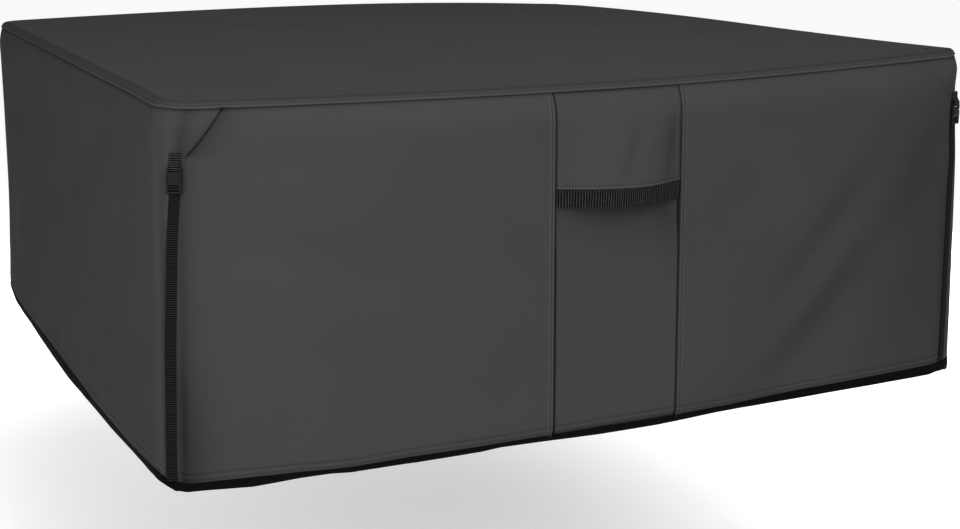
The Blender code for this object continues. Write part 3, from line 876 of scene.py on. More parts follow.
        dip = np.where(s > 0, after.dip, before.dip) * np.clip(1 - reach / self.dip_reach, 0, 1) ** 2
        z = -self.crown - form.sag * arch - dip - drop * (1 + lower / self.skirt) - hang
        return np.stack([x, y, z], axis=-1)

    def top_height(self, x: Array, y: Array) -> Array:
        """Outer face of the top panel.

        Args:
            x: Places to the right of its middle.
            y: Places behind its middle.

        Returns:
            The height at each place.
        """
        half = self.half
        arch_x = np.clip(1 - (x / half) ** 2, 0, 1)
        arch_y = np.clip(1 - (y / half) ** 2, 0, 1)
        height = self.cloth + self.top_rise - self.crown + (self.crown - self.top_rise) * arch_x * arch_y
        nears = (half + y, half - x, half - y, half + x)
        arches = (arch_x, arch_y, arch_x, arch_y)
        for form, near, arch in zip(self.sides, nears, arches):
            height = height - form.sag * arch * np.clip(1 - near / self.sag_reach, 0, 1) ** 2
        for corner, (way_x, way_y) in zip(self.corners, ((1, -1), (1, 1), (-1, 1), (-1, -1))):
            near = np.hypot(half - way_x * x, half - way_y * y)
            height = height - corner.dip * np.clip(1 - near / self.dip_reach, 0, 1) ** 2
        for fold in TOP_FOLDS:
            height = height + fold.lift(x, y)
        return height


# ---------------------------------------------------------------- sheets of cloth
class SheetMaker:
    """Turns an outer face into a closed sheet with its surface coordinates, and how much painted shade
    darkens each point and rubbing and painted highlight make it paler.
    """

    @staticmethod
    def normals(points: Array, quads: Array, triangles: Array) -> Array:
        """Normals averaged over the faces round each point.

        Args:
            points: The points.
            quads: Four-sided faces.
            triangles: Three-sided faces.

        Returns:
            A normal of length 1 for each point.
        """
        total = np.zeros_like(points)
        if len(quads):
            a, b, c, d = (points[quads[:, i]] for i in range(4))
            face = np.cross(c - a, d - b)
            for i in range(4):
                np.add.at(total, quads[:, i], face)
        if len(triangles):
            a, b, c = (points[triangles[:, i]] for i in range(3))
            face = np.cross(b - a, c - a)
            for i in range(3):
                np.add.at(total, triangles[:, i], face)
        return unit(total)

    @staticmethod
    def grid(rows: int, columns: int, closed: bool = False) -> Array:
        """Quads of a grid stored row by row from the top down, seen from outside.

        Args:
            rows: Rows of points.
            columns: Points in a row.
            closed: Whether the last column joins the first.

        Returns:
            The quads.
        """
        across = np.arange(columns if closed else columns - 1)
        i, j = np.meshgrid(np.arange(rows - 1), across, indexing="ij")
        after = (j + 1) % columns
        upper, lower = i * columns, (i + 1) * columns
        quads = np.stack([upper + j, lower + j, lower + after, upper + after], -1)
        return quads.reshape(-1, 4)

    @classmethod
    def build(
        cls,
        name: str,
        points: Array,
        uv: Array,
        thickness: float,
        quads: Array,
        triangles: Array | None = None,
        painted_light_and_wear: Array | None = None,
    ) -> Thing:
        """Makes the closed sheet.

        Args:
            name: Name of the piece.
            points: Outer face's points.
            uv: Their surface coordinates, in metres.
            thickness: From the outer face to the inner one.
            quads: Its four-sided faces.
            triangles: Its three-sided faces.
            painted_light_and_wear: How much each point is darkened with painted shade, below 0, and made
                paler by rubbing and painted highlight, above 0.

        Returns:
            The object.
        """
        triangles = np.zeros((0, 3), int) if triangles is None else triangles
        count = len(points)
        inner = points - thickness * cls.normals(points, quads, triangles)
        faces = [tuple(face) for face in quads] + [tuple(face) for face in triangles]
        edges = set()
        for face in faces:
            edges.update(zip(face, face[1:] + face[:1]))
        rim = [(b, a, count + a, count + b) for a, b in edges if (b, a) not in edges]
        faces += [tuple(count + v for v in reversed(face)) for face in faces] + rim
        mesh = bpy.data.meshes.new(name)
        mesh.from_pydata(np.concatenate([points, inner]), [], faces)
        mesh.update()
        write_surface(mesh, np.concatenate([uv, uv]))
        # painted shade and highlight, with rubbing, on the outer face; none on the inner face
        light_and_wear = np.zeros(2 * count, dtype=np.float32)
        if painted_light_and_wear is not None:
            light_and_wear[:count] = painted_light_and_wear
        mesh.attributes.new("painted_light_and_wear", "FLOAT", "POINT").data.foreach_set("value", light_and_wear)
        mesh.shade_smooth()
        mesh.set_sharp_from_angle(angle=CLOTH_SHARP)
        return add_object(name, mesh)

    @classmethod
    def patch(
        cls,
        name: str,
        points: Array,
        surface: tuple[Array, Array],
        thickness: float,
        painted_light_and_wear: Array | None = None,
    ) -> Thing:
        """Makes the closed sheet of a whole grid of points.

        Args:
            name: Name of the piece.
            points: Outer face's points, in rows.
            surface: Their two surface coordinates, in rows.
            thickness: From the outer face to the inner one.
            painted_light_and_wear: How much each point is darkened with painted shade, below 0, and made
                paler by rubbing and painted highlight, above 0.

        Returns:
            The object.
        """
        uv = np.stack(surface, axis=-1).reshape(-1, 2)
        quads = cls.grid(*surface[0].shape)
        light_and_wear = None if painted_light_and_wear is None else painted_light_and_wear.ravel()
        return cls.build(name, points.reshape(-1, 3), uv, thickness, quads, painted_light_and_wear=light_and_wear)


def dress(piece: Thing, material: Material, nodes: Iterable[str] = ()) -> Thing:
    """Gives a piece its finish and body, and hides the CAD nodes that it stands for.

    Args:
        piece: The piece.
        material: Its finish.
        nodes: CAD nodes that it replaces.

    Returns:
        The piece.
    """
    piece.data.materials.clear()
    piece.data.materials.append(material)
    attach(piece, BODY)
    nodes = tuple(nodes)
    if nodes:
        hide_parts(*nodes)
    return piece


@dataclass
class LappedEdge:
    """The profile of a felled, twice stitched edge, by the distance in from it."""

    rows: tuple[Pair, ...] = (
        (0.0000, -0.0010), (0.0005, -0.0002), (0.0014, 0.0008), (0.0030, 0.0013), (0.0046, 0.0009),
        (0.0060, 0.0002), (0.0074, 0.0008), (0.0100, 0.0012), (0.0128, 0.0008), (0.0150, -0.0001),
        (0.0166, 0.0002), (0.0210, 0.0),
    )
    stitches: Pair = (0.0060, 0.0150)
    # place, width and amount of the paler tone on its two ridges, partly rubbing and partly painted
    # highlight, and of the painted shade between them
    ridge_light_and_wear: tuple[Triple, ...] = ((0.0036, 0.0016, 0.12), (0.0105, 0.0020, 0.14), (0.0070, 0.0012, -0.30))

    def lift(self, inset: Array) -> Array:
        """Height over the plain cloth."""
        places, heights = np.array(self.rows).T
        return np.interp(inset, places, heights)

    def light_and_wear_at(self, inset: Array) -> Array:
        """Paler ridges, partly rubbing and partly painted highlight, and the painted shade between them."""
        return streaks(inset, self.ridge_light_and_wear)

    def columns(self) -> Array:
        """Insets at which the mesh needs a column."""
        places = np.array(self.rows)[:, 0]
        return np.unique(np.concatenate([places, (places[1:] + places[:-1]) / 2]))


# ---------------------------------------------------------------- the top
@dataclass
class TopPanel:
    """The crowned top: its field, stitched edge, rounded brow and the lip turned down over the walls."""

    form: CoverForm
    field_in: float = 0.060
    # free of points between the border and the field
    field_gap: float = 0.030
    ring_pitch: float = 0.009
    field_pitch: float = 0.018
    # (inset from the seam, height over the top's own face): the twice stitched border
    border: tuple[Pair, ...] = (
        (0.0600, 0.0), (0.0400, 0.0), (0.0280, 0.0), (0.0200, 0.0), (0.0165, 0.0002), (0.0148, 0.0001),
        (0.0135, -0.0003), (0.0122, 0.0001), (0.0100, 0.0003), (0.0070, 0.0003), (0.0046, 0.0001),
        (0.0030, -0.0006),
    )
    # (drop, out) of the brow, groove and lip, then back under it
    lip: tuple[Pair, ...] = (
        (-0.0004, -0.0016), (0.0002, 0.0004), (0.0012, 0.0018), (0.0024, 0.0019), (0.0035, 0.0011),
        (0.0044, 0.0017), (0.0056, 0.0029), (0.0070, 0.0033), (0.0084, 0.0030), (0.0093, 0.0022),
    )
    # place, width and amount of the paler band down the lip, partly rubbing and partly painted highlight, and
    # of the painted shade on the brow and in the groove; and the painted shade of the border
    lip_light_and_wear: tuple[Triple, ...] = ((0.0068, 0.0016, 0.05), (-0.0002, 0.0009, -0.30), (0.0036, 0.0008, -0.30))
    border_shade: float = -0.30
    brow_rise: float = 0.0012
    stitches: Pair = (0.0030, 0.0135)
    flat: Pair = (1.83, 1.83)

    def columns(self) -> Array:
        """Places round the perimeter, closer at the corners."""
        places = []
        for side in Side:
            zone = steps(0, self.form.corner_zone, self.ring_pitch)[:-1]
            straight = self.form.half - self.form.corner_zone
            inner = steps(-straight, straight, self.ring_pitch)
            local = np.concatenate([zone - self.form.half, inner, self.form.half - zone[::-1]])
            places.append(local[:-1] + side.value * self.form.span)
        return np.concatenate(places)

    def build(self) -> Thing:
        """Builds the sheet from its lip inwards."""
        form, places = self.form, self.columns()
        # each ring's tone: rubbing and painted highlight down the lip, painted shade on the brow, in the
        # groove and along the border
        rings, ring_light_and_wear = [], []
        for drop, out in reversed(self.lip):
            rings.append(form.wall(places, max(drop, 0.0), out))
            if drop <= 0:
                rings[-1][:, 2] += self.brow_rise
            ring_light_and_wear.append(float(streaks(np.array(drop), self.lip_light_and_wear)))
        for inset, height in reversed(self.border):
            ring = form.wall(places, 0.0, -inset)
            ring[:, 2] = form.top_height(ring[:, 0], ring[:, 1]) + height
            rings.append(ring)
            ring_light_and_wear.append(self.border_shade * float(smooth(np.array((0.0170 - inset) / 0.006))))
        points = np.concatenate(rings)
        count, levels = len(places), len(rings)
        quads = SheetMaker.grid(levels, count, closed=True)[:, ::-1]
        last = rings[-1]
        axis = steps(-form.half, form.half, self.field_pitch)[1:-1]
        x, y = (v.ravel() for v in np.meshgrid(axis, axis))
        inside = np.maximum(np.abs(x), np.abs(y)) < form.half - self.field_in - self.field_gap
        flat = [Vector(v[:2]) for v in last] + [Vector(v) for v in zip(x[inside], y[inside])]
        loop = [(j, (j + 1) % count) for j in range(count)]
        found, _, triangles, *_ = delaunay_2d_cdt(flat, loop, [], 1, 1e-6)
        inner = np.array([tuple(v) for v in found[count:]])
        height = form.top_height(inner[:, 0], inner[:, 1])
        first = (levels - 1) * count
        points = np.concatenate([points, np.column_stack([inner, height])])
        triangles = np.array([tuple(face) for face in triangles]) + first
        painted_light_and_wear = np.concatenate([np.repeat(ring_light_and_wear, count), np.zeros(len(inner))])
        surface = points[:, :2]
        return SheetMaker.build("top_panel_cloth", points, surface, form.cloth, quads, triangles, painted_light_and_wear)

    def stitch_paths(self) -> list[Array]:
        """The rows of stitches round the border, as closed paths."""
        places, paths = self.columns(), []
        for inset in self.stitches:
            ring = self.form.wall(places, 0.0, -inset)
            ring[:, 2] = self.form.top_height(ring[:, 0], ring[:, 1]) - 0.0004
            paths.append(np.concatenate([ring, ring[:1]]))
        return paths


# ---------------------------------------------------------------- wall panels
@dataclass
class WallPanel:
    """One panel of the skirt between two places of the perimeter."""

    form: CoverForm
    name: str
    start: float
    end: float
    depth: Depth
    flat: Pair
    lapped: tuple[bool, bool] = (False, False)
    pitch: float = 0.010
    row_pitch: float = 0.0085
    edge: LappedEdge = field(default_factory=LappedEdge)
    hem_stitch: float = 0.667
    # drops of the rows of points near the hem, from its stitches
    hem_rows: tuple[float, ...] = (
        -0.004, -0.0022, -0.001, 0.0, 0.001, 0.0022, 0.0036, 0.005, 0.0065, 0.008, 0.0095, 0.011, 0.0125,
        0.014, 0.0155,
    )
    # place, width and amount of the painted shade on the hem's stitch lines and of the paler lines between
    # them, partly rubbing and partly painted highlight, from its stitches
    hem_light_and_wear: tuple[Triple, ...] = (
        (0.0, 0.0018, -0.30), (0.0050, 0.0022, 0.10), (0.0110, 0.0024, -0.20), (0.0155, 0.0015, 0.05),
    )
    # and of the lip's painted shadow, from the seam
    lip_shadow: Triple = (0.0095, 0.0036, -0.50)
    # where the columns that follow a pleat start, and where the others are back in their places
    pleat_base: float = 0.118
    pleat_ease: float = 0.26
    # |p| of the edges that lie over this panel, beside which it has painted shade, and its own painted shades
    beside: float | None = None
    # insets of the columns beside such an edge, and distances of those beside a pleat
    beside_columns: tuple[float, ...] = (-0.002, 0.0, 0.001, 0.002, 0.003, 0.004, 0.0052, 0.0068, 0.009)
    pleat_columns: tuple[float, ...] = (
        0.0003, 0.0008, 0.0014, 0.0022, 0.0032, 0.0045, 0.0062, 0.0085, 0.0115, 0.015,
    )
    # columns closer than this are left out
    least_pitch: float = 0.00028
    # place, width and amount of the painted shade beside the left and the right such edge
    edge_shades: tuple[Triple, Triple] = ((0.0024, 0.0034, 0.90), (0.0016, 0.0026, 0.75))
    shades: tuple[Fold, ...] = ()

    def corners_inside(self) -> list[float]:
        """Corners that the panel wraps."""
        half, span = self.form.half, self.form.span
        return [half + n * span for n in range(-2, 4) if self.start < half + n * span < self.end]

    def columns(self) -> Array:
        """Places across the panel, closer at its edges, pleats and corners."""
        zone = self.form.corner_zone
        places = [steps(self.start, self.end, self.pitch)]
        insets = self.edge.columns()
        for lapped, origin, way in zip(self.lapped, (self.start, self.end), (1, -1)):
            if lapped:
                places.append(origin + way * insets)
        if self.beside is not None:
            near = self.beside - np.array(self.beside_columns)
            places += [near, -near]
        close = np.array(self.pleat_columns)
        for corner in self.corners_inside():
            places.append(corner + np.linspace(-zone, zone, 33))
            for way in (-1, 1):
                base = corner + way * self.pleat_base
                places.append(np.concatenate([[base], base - close, base + close]))
        every = np.unique(np.concatenate(places).round(6))
        every = every[(every >= self.start) & (every <= self.end)]
        keep = np.concatenate([[True], np.diff(every) > self.least_pitch])
        keep[-1] = True
        return every[keep]

    def rows(self) -> Array:
        """Drops down the panel, closer under the lip and at the hem."""
        body = steps(0.018, self.hem_stitch - 0.010, self.row_pitch)
        hem = self.hem_stitch + np.array(self.hem_rows)
        return np.concatenate([UPPER_ROWS, body, hem, steps(self.hem_stitch + 0.020, self.form.skirt, 0.006)])

    def follow_pleats(self, p: Array, d: Array) -> Array:
        """Moves columns near a wrapped corner so that one of them follows the pleat.

        Args:
            p: The columns' places.
            d: The rows' drops.

        Returns:
            The new places.
        """
        base, ease = self.pleat_base, self.pleat_ease
        moved = p.copy()
        for corner in self.corners_inside():
            away = p - corner
            reach = np.abs(away)
            # only on the side that has the pleat, which is the front or the rear
            number = int(round((corner - self.form.half) / self.form.span)) % 4
            inner = away < 0 if number in (0, 2) else away > 0
            line = self.form.pleat_reach(self.form.corners[number], d)
            low = reach * line / base
            high = line + (reach - base) * (ease - line) / (ease - base)
            new = np.where(reach < base, low, high)
            take = inner & (reach < ease)
            moved = np.where(take, corner + np.sign(away) * new, moved)
        return moved

    def offset(self, p: Array, d: Array) -> Array:
        """How far the outer face stands off the cover's surface."""
        out = -self.depth(p, d)
        for lapped, inset in zip(self.lapped, (p - self.start, self.end - p)):
            if lapped:
                out = out + self.edge.lift(inset)
        below = d - self.hem_stitch
        out = out - 0.0005 * bell(below, 0.0014) + 0.0004 * smooth(below / 0.004)
        return out

    def build(self) -> Thing:
        """Builds the panel's sheet."""
        base, d = np.meshgrid(self.columns(), self.rows())
        p = self.follow_pleats(base, d)
        points = self.form.wall(p, d, self.offset(p, d))
        # painted light and rubbing: the lapped edges' ridges and groove, the hem's lines, the lip's painted
        # shadow, the side's painted shades and highlights, and painted shade beside the edges over the panel
        painted_light_and_wear = np.zeros_like(p)
        for lapped, inset in zip(self.lapped, (p - self.start, self.end - p)):
            if lapped:
                painted_light_and_wear = painted_light_and_wear + self.edge.light_and_wear_at(inset)
        painted_light_and_wear = painted_light_and_wear + streaks(d - self.hem_stitch, self.hem_light_and_wear) + streaks(d, [self.lip_shadow])
        painted_light_and_wear = painted_light_and_wear + self.form.shading(p, d)
        for shade in self.shades:
            painted_light_and_wear = painted_light_and_wear + shade.lift(p, d)
        if self.beside is not None:
            left, right = (streaks(self.beside - np.abs(p), [row]) for row in self.edge_shades)
            painted_light_and_wear = painted_light_and_wear - np.where(p < 0, left, right)
        return SheetMaker.patch(f"{self.name}_cloth", points, (p, d), self.form.cloth, painted_light_and_wear)

    def stitch_paths(self) -> list[Array]:
        """Rows of stitches: down the lapped edges and along the hem."""
        paths = []
        d = steps(0.012, self.form.skirt - self.form.binding - 0.002, 0.006)
        for lapped, origin, way in zip(self.lapped, (self.start, self.end), (1, -1)):
            if lapped:
                for inset in self.edge.stitches:
                    p = np.full_like(d, origin + way * inset)
                    paths.append(self.form.wall(p, d, self.offset(p, d) + 0.0002))
        p = steps(self.start + 0.004, self.end - 0.004, 0.008)
        row = np.full_like(p, self.hem_stitch)
        paths.append(self.form.wall(p, row, self.offset(p, row) + 0.0002))
        return paths


def flush(p: Array, d: Array) -> Array:
    """Depth of a panel that lies on the cover's surface."""
    return np.zeros_like(p)


@dataclass
class Skirt:
    """The six panels of the skirt."""

    form: CoverForm
    seam: float = 0.144
    seam_lap: float = 0.012
    flap_behind: Pair = (0.25, 0.35)
    corner_ease: float = 0.06
    groove: float = 0.0016

    def tucked(self, start: float, end: float) -> Depth:
        """Depth of a side panel, whose ends lie under the panels that wrap the corners."""

        def depth(p: Array, d: Array) -> Array:
            """One layer at both ends, none between."""
            nearest = np.minimum(p - start, end - p) - 1.4 * self.form.corner_under
            return self.form.layer * (1 - smooth(nearest / self.corner_ease))

        return depth

    def middle_depth(self, p: Array, d: Array) -> Array:
        """Depth of the middle panel: three layers behind the flap, one below it, deeper by a seam."""
        depth = self.form.layer * (3 - 2 * between(d, self.flap_behind))
        edge = self.seam - np.abs(p)
        return depth + self.groove * bell(edge - 0.001, 0.0026) * between(d, (0.18, 0.24))

    def panels(self) -> list[WallPanel]:
        """The panels in their places."""
        form = self.form
        half, span, lap = form.half, form.span, form.corner_lap
        hidden = lap - form.corner_under
        right = (half + hidden, half + span - hidden)
        left = (-half - span + hidden, -half - hidden)
        rear = (half + span - lap, half + 2 * span + lap)
        middle = (-self.seam - self.seam_lap, self.seam + self.seam_lap)
        return [
            WallPanel(
                form, "front_left_panel", -half - lap, -self.seam, flush, (0.80, 0.72),
                lapped=(False, True), pitch=0.0085,
            ),
            WallPanel(
                form, "front_right_panel", self.seam, half + lap, flush, (0.80, 0.73),
                lapped=(True, False), pitch=0.0085,
            ),
            WallPanel(
                form, "front_middle_panel", *middle, self.middle_depth, (0.33, 0.73), pitch=0.0085,
                beside=self.seam, shades=MIDDLE_SHADES,
            ),
            WallPanel(form, "right_side_panel", *right, self.tucked(*right), (1.78, 0.75), pitch=0.013),
            WallPanel(form, "rear_panel", *rear, flush, (1.90, 0.74), pitch=0.012),
            WallPanel(form, "left_side_panel", *left, self.tucked(*left), (1.78, 0.73), pitch=0.011),
        ]


# ---------------------------------------------------------------- vent flap and its handle
@dataclass
class VentFlap:
    """The hood over the vent, with a turned hem, and the webbing handle under it."""

    form: CoverForm
    seam: float = 0.144
    lap: float = 0.012
    drop: float = 0.195
    swell: float = 0.044
    flat_seam: float = 0.003
    handle_width: float = 0.0455
    handle_tuck: float = 0.006
    handle_lean: float = 0.10
    webbing: float = 0.0015
    folds: tuple[Fold, ...] = (
        Fold((0.060, 0.060), (0.028, 0.115), (-0.016, 0.192), 0.015, -0.0030),
        Fold((0.086, 0.070), (0.060, 0.120), (0.034, 0.190), 0.016, 0.0016),
        Fold((0.132, 0.060), (0.126, 0.120), (0.112, 0.190), 0.013, -0.0045),
        Fold((-0.120, 0.030), (-0.110, 0.090), (-0.085, 0.150), 0.016, 0.0014),
    )
    # painted shade in the flap's folds and under the lip
    shades: tuple[Fold, ...] = (
        Fold((0.125, 0.06), (0.118, 0.14), (0.085, 0.24), 0.025, -0.26),
        Fold((0.05, 0.08), (0.02, 0.13), (-0.03, 0.20), 0.014, -0.12),
        Fold((-0.16, 0.009), (0.0, 0.009), (0.16, 0.009), 0.0045, -0.45),
    )
    handle_ends: Pair = (0.84, 1.0)
    stitched: float = 0.0060
    raises: tuple[Pair, ...] = (
        (-0.144, 0.0012), (-0.03, 0.0010), (0.05, -0.001), (0.144, -0.002),
    )
    # place, width and height of the ridge and of the groove beside the lapped seams, by the inset
    seam_ridges: tuple[Triple, ...] = ((0.0085, 0.0024, 0.0012), (0.002, 0.0022, -0.0012))
    # place, width and amount of the paler line from the hem's edge, partly rubbing and partly painted
    # highlight, and of the painted shade from its stitches
    edge_light_and_wear: Triple = (-0.0020, 0.0012, 0.16)
    stitch_shade: Triple = (0.0, 0.0012, -0.20)
    # and of the painted shade under the lapped seams on the left and on the right, by the inset
    edge_shades: tuple[Triple, Triple] = ((0.0018, 0.0030, 0.80), (0.0006, 0.0018, 0.60))
    rib_pitch: float = 0.0050
    rib_height: float = 0.00050
    pucker_pitch: float = 0.031
    pucker_height: float = 0.0016

    def raised(self, s: Array, d: Array) -> Array:
        """Drops near the hem, drawn up unevenly along it."""
        return d - np.interp(s, *np.array(self.raises).T) * smooth((d - 0.10) / 0.09)

    def bulge(self, s: Array, d: Array) -> Array:
        """How far the flap stands off the wall."""
        across = np.clip(1 - (s / (self.seam - self.flat_seam)) ** 2, 0, 1) ** 1.2
        return self.swell * across * np.clip(d / self.drop, 0, 1) ** 1.6

    def build(self) -> Thing:
        """Builds the flap's sheet."""
        edge = self.seam + self.lap
        fine = np.concatenate([steps(0.118, 0.150, 0.0018), [0.156, edge]])
        s = np.unique(np.concatenate([steps(-0.118, 0.118, 0.006), fine, -fine]).round(6))
        rows = np.concatenate([UPPER_ROWS, steps(0.018, 0.176, 0.006), steps(0.178, self.drop, 0.0012)])
        s, d = np.meshgrid(s, rows)
        inset = self.seam - np.abs(s)
        out = self.bulge(s, d) - self.form.layer
        for fold in self.folds:
            out = out + fold.lift(s, d)
        # the seams' ridges grow stronger down the flap
        strength = 0.35 + 0.65 * smooth(d / 0.12)
        out = out + strength * streaks(inset, self.seam_ridges)
        # the turned hem: a groove along its stitches, a step out below them and a round edge
        hem = d - self.drop
        sewn = hem + self.stitched
        out = out - 0.0007 * bell(sewn, 0.0012) + 0.0010 * smooth((sewn - 0.001) / 0.003)
        out = out - 0.0014 * smooth((hem + 0.0020) / 0.0020)
        points = self.form.wall(s, self.raised(s, d), out)
        # paler hem edge, partly rubbing and partly painted highlight; painted shade on its stitches; painted
        # highlight on the ridges beside the seams; painted shade under the lapped seams and in the folds
        painted_light_and_wear = streaks(hem, [self.edge_light_and_wear]) + streaks(sewn, [self.stitch_shade])
        painted_light_and_wear = painted_light_and_wear + 0.10 * strength * bell(inset - 0.0085, 0.0018)
        left, right = (streaks(inset, [row]) for row in self.edge_shades)
        painted_light_and_wear = painted_light_and_wear - np.where(s < 0, left, right)
        for shade in self.shades:
            painted_light_and_wear = painted_light_and_wear + shade.lift(s, d)
        return SheetMaker.patch("vent_flap_cloth", points, (s, d), self.form.cloth, painted_light_and_wear)

    def build_handle(self) -> Thing:
        """Builds the handle, with its ribs down it."""
        edge = self.seam + self.lap
        s = steps(-edge, edge, 0.00085)
        top = self.drop - self.handle_tuck
        low = top + self.handle_width
        rows = np.concatenate([[top], steps(self.drop, low, 0.003)])
        s, d = np.meshgrid(s, rows)
        narrow = np.interp(s, (-edge, edge), self.handle_ends)
        d = np.where(d > self.drop, self.drop + (d - self.drop) * narrow, d)
        lean = 1 - self.handle_lean * np.clip(d - self.drop, 0, None) / self.handle_width
        rng = np.random.default_rng(7)
        knots = np.arange(-0.20, 0.201, 0.0025)
        ribs = np.interp(s, knots, rng.uniform(0.25, 1.0, len(knots)))
        rib = self.rib_height * ribs * np.sin(2 * np.pi * s / self.rib_pitch)
        below = np.clip((d - self.drop) / self.handle_width, 0, 1)
        pucker = self.pucker_height * np.sin(s / self.pucker_pitch * 2 * np.pi + 5 * d) * below
        bare = 1 - smooth((self.drop + 0.002 - d) / 0.004)
        out = self.bulge(s, d) * lean - 2 * self.form.layer + 0.0012 * bare + (rib + pucker) * bare
        points = self.form.wall(s, d, out)
        return SheetMaker.patch("vent_handle_webbing", points, (s, d), self.webbing)

    def stitch_paths(self) -> list[Array]:
        """The row of stitches above the turned hem."""
        s = steps(-self.seam + 0.006, self.seam - 0.006, 0.006)
        d = np.full_like(s, self.drop - self.stitched)
        out = self.bulge(s, d) - self.form.layer - 0.0003
        for fold in self.folds:
            out = out + fold.lift(s, d)
        return [self.form.wall(s, self.raised(s, d), out)]


# ---------------------------------------------------------------- binding, straps
def sweep(name: str, sections: Array, along: Array, across: Array) -> Thing:
    """A closed solid through a row of equal closed sections.

    Args:
        name: Name of the piece.
        sections: Points, by section and place in it.
        along: Surface coordinate of each section.
        across: Surface coordinate of each place in a section.

    Returns:
        The object.
    """
    rings, size = sections.shape[:2]
    i, j = np.meshgrid(np.arange(rings - 1), np.arange(size), indexing="ij")
    after = (j + 1) % size
    here, there = i * size, (i + 1) * size
    quads = np.stack([here + j, here + after, there + after, there + j], -1).reshape(-1, 4)
    faces = [tuple(quad) for quad in quads]
    faces.append(tuple(reversed(range(size))))
    faces.append(tuple((rings - 1) * size + k for k in range(size)))
    mesh = bpy.data.meshes.new(name)
    mesh.from_pydata(sections.reshape(-1, 3), [], faces)
    mesh.update()
    work = bmesh.new()
    work.from_mesh(mesh)
    bmesh.ops.recalc_face_normals(work, faces=work.faces)
    work.to_mesh(mesh)
    work.free()
    u, v = np.meshgrid(along, across, indexing="ij")
    write_surface(mesh, np.stack([v, u], axis=-1).reshape(-1, 2))
    mesh.shade_smooth()
    mesh.set_sharp_from_angle(angle=TAPE_SHARP)
    return add_object(name, mesh)


@dataclass
class HemBinding:
    """The tape folded round the hem of one side."""

    form: CoverForm
    side: Side
    tape: float = 0.0010
    gap: float = 0.0009
    pitch: float = 0.007
    end_gap: float = 0.0008

    @property
    def node(self) -> str:
        """The CAD node that the tape stands for."""
        return f"hem_binding_{self.side.name.lower()}"

    def section(self) -> tuple[Array, Array]:
        """Drops and outs of the folded tape, with a round bottom."""
        top = self.form.skirt - self.form.binding
        outside = self.gap + self.tape
        inside = -(self.form.layer + self.form.cloth + self.gap)
        low = self.form.skirt + self.gap
        middle = (outside + inside - self.tape) / 2
        radius = (outside - inside + self.tape) / 2
        turns = np.radians([0, 30, 60, 90, 120, 150, 180])
        belly = 0.0006
        outer = [(top, outside - 0.0007), (top + 0.0012, outside), (top + 0.004, outside - 0.0003)]
        outer += [(top + 0.013, outside + belly), (low - 0.003, outside + belly)]
        outer += [(low - 0.002 + 0.003 * math.sin(t), middle + radius * math.cos(t)) for t in turns]
        inner = [(top, inside - self.tape), (top, inside), (low - 0.003, inside)]
        inner += [(low - 0.001, inside + 0.0006), (low - 0.001, self.gap - 0.0006), (low - 0.003, self.gap)]
        inner += [(top, self.gap)]
        return tuple(np.array(outer + inner).T)

    def build(self) -> Thing:
        """Builds the folded tape."""
        start = self.side.value * self.form.span - self.form.half + self.end_gap
        places = steps(start, start + self.form.span - 2 * self.end_gap, self.pitch)
        drops, outs = self.section()
        rng = np.random.default_rng(20 + self.side.value)
        knots = steps(places[0], places[-1], 0.045)
        swell = np.interp(places, knots, rng.uniform(-1, 1, len(knots)))
        sections = []
        for place, lump in zip(places, swell):
            out = outs + 0.0007 * lump * bell(drops - (self.form.skirt - 0.012), 0.012) * (outs > 0)
            sections.append(self.form.wall(np.full(len(drops), place), drops, out))
        return sweep(f"{self.node}_tape", np.array(sections), places, drops)


@dataclass
class CornerFrame:
    """A corner's own frame, for what lies on its strap's seat.

    u is the drop below the buckle's upper edge, h the height over the seat, a the place across.
    """

    form: CoverForm
    number: int
    buckle_top: float = 0.112
    buckle_length: float = 0.046
    seat_gap: float = 0.0004
    strap_width: float = 0.020
    facing_drop: float = 0.2
    # how far to both sides the cloth is looked at, and the share of the strap's width that rests on it
    seat_reach: float = 0.05
    seat_share: float = 0.7

    def __post_init__(self) -> None:
        """Finds the frame's axes."""
        form = self.form
        corner = form.corners[self.number]
        self.name = corner.name
        self.corner = corner
        p = self.place(self.facing_drop)
        diagonal = (form.wall(p, self.facing_drop, 1.0) - form.wall(p, self.facing_drop, 0.0)).reshape(3)
        self.out = diagonal / np.linalg.norm(diagonal)
        self.across = np.array([-self.out[1], self.out[0], 0.0])
        self.origin = self.seat(self.buckle_top)
        fall = self.seat(self.buckle_top + self.buckle_length) - self.origin
        self.down = fall / np.linalg.norm(fall)
        self.lift = np.cross(self.down, self.across)

    def place(self, d: float) -> float:
        """Where the strap lies round the perimeter, at a drop."""
        form, bend = self.form, self.corner.strap * HALF_BEND
        onwards = float(form.strap_place(self.corner, np.array(d))) * form.corner_zone / bend
        return form.half + self.number * form.span + onwards

    def seat(self, d: float) -> Array:
        """Where the strap's inner face lies, clear of the cloth over its width."""
        p = self.place(d)
        middle = self.form.wall(p, d).reshape(3)
        nearby = p + np.linspace(-self.seat_reach, self.seat_reach, 41)
        offsets = self.form.wall(nearby, d) - middle
        beneath = np.abs(offsets @ self.across) < self.strap_width * self.seat_share
        return middle + self.out * ((offsets @ self.out)[beneath].max() + self.seat_gap)

    def lay(self, u: float, h: float, a: float = 0.0) -> Array:
        """A point of the frame: on the rigid buckle's plane beside it, on the seat elsewhere."""
        if 0 <= u <= self.buckle_length:
            return self.origin + self.down * u + self.lift * h + self.across * a
        return self.seat(self.buckle_top + u) + self.out * h + self.across * a

    def matrix(self) -> Matrix:
        """From a buckle's own axes (x across, y up, z out) to the cover's."""
        columns = np.stack([self.across, -self.down, self.lift], axis=-1)
        matrix = Matrix(columns.tolist()).to_4x4()
        matrix.translation = Vector(self.origin)
        return matrix


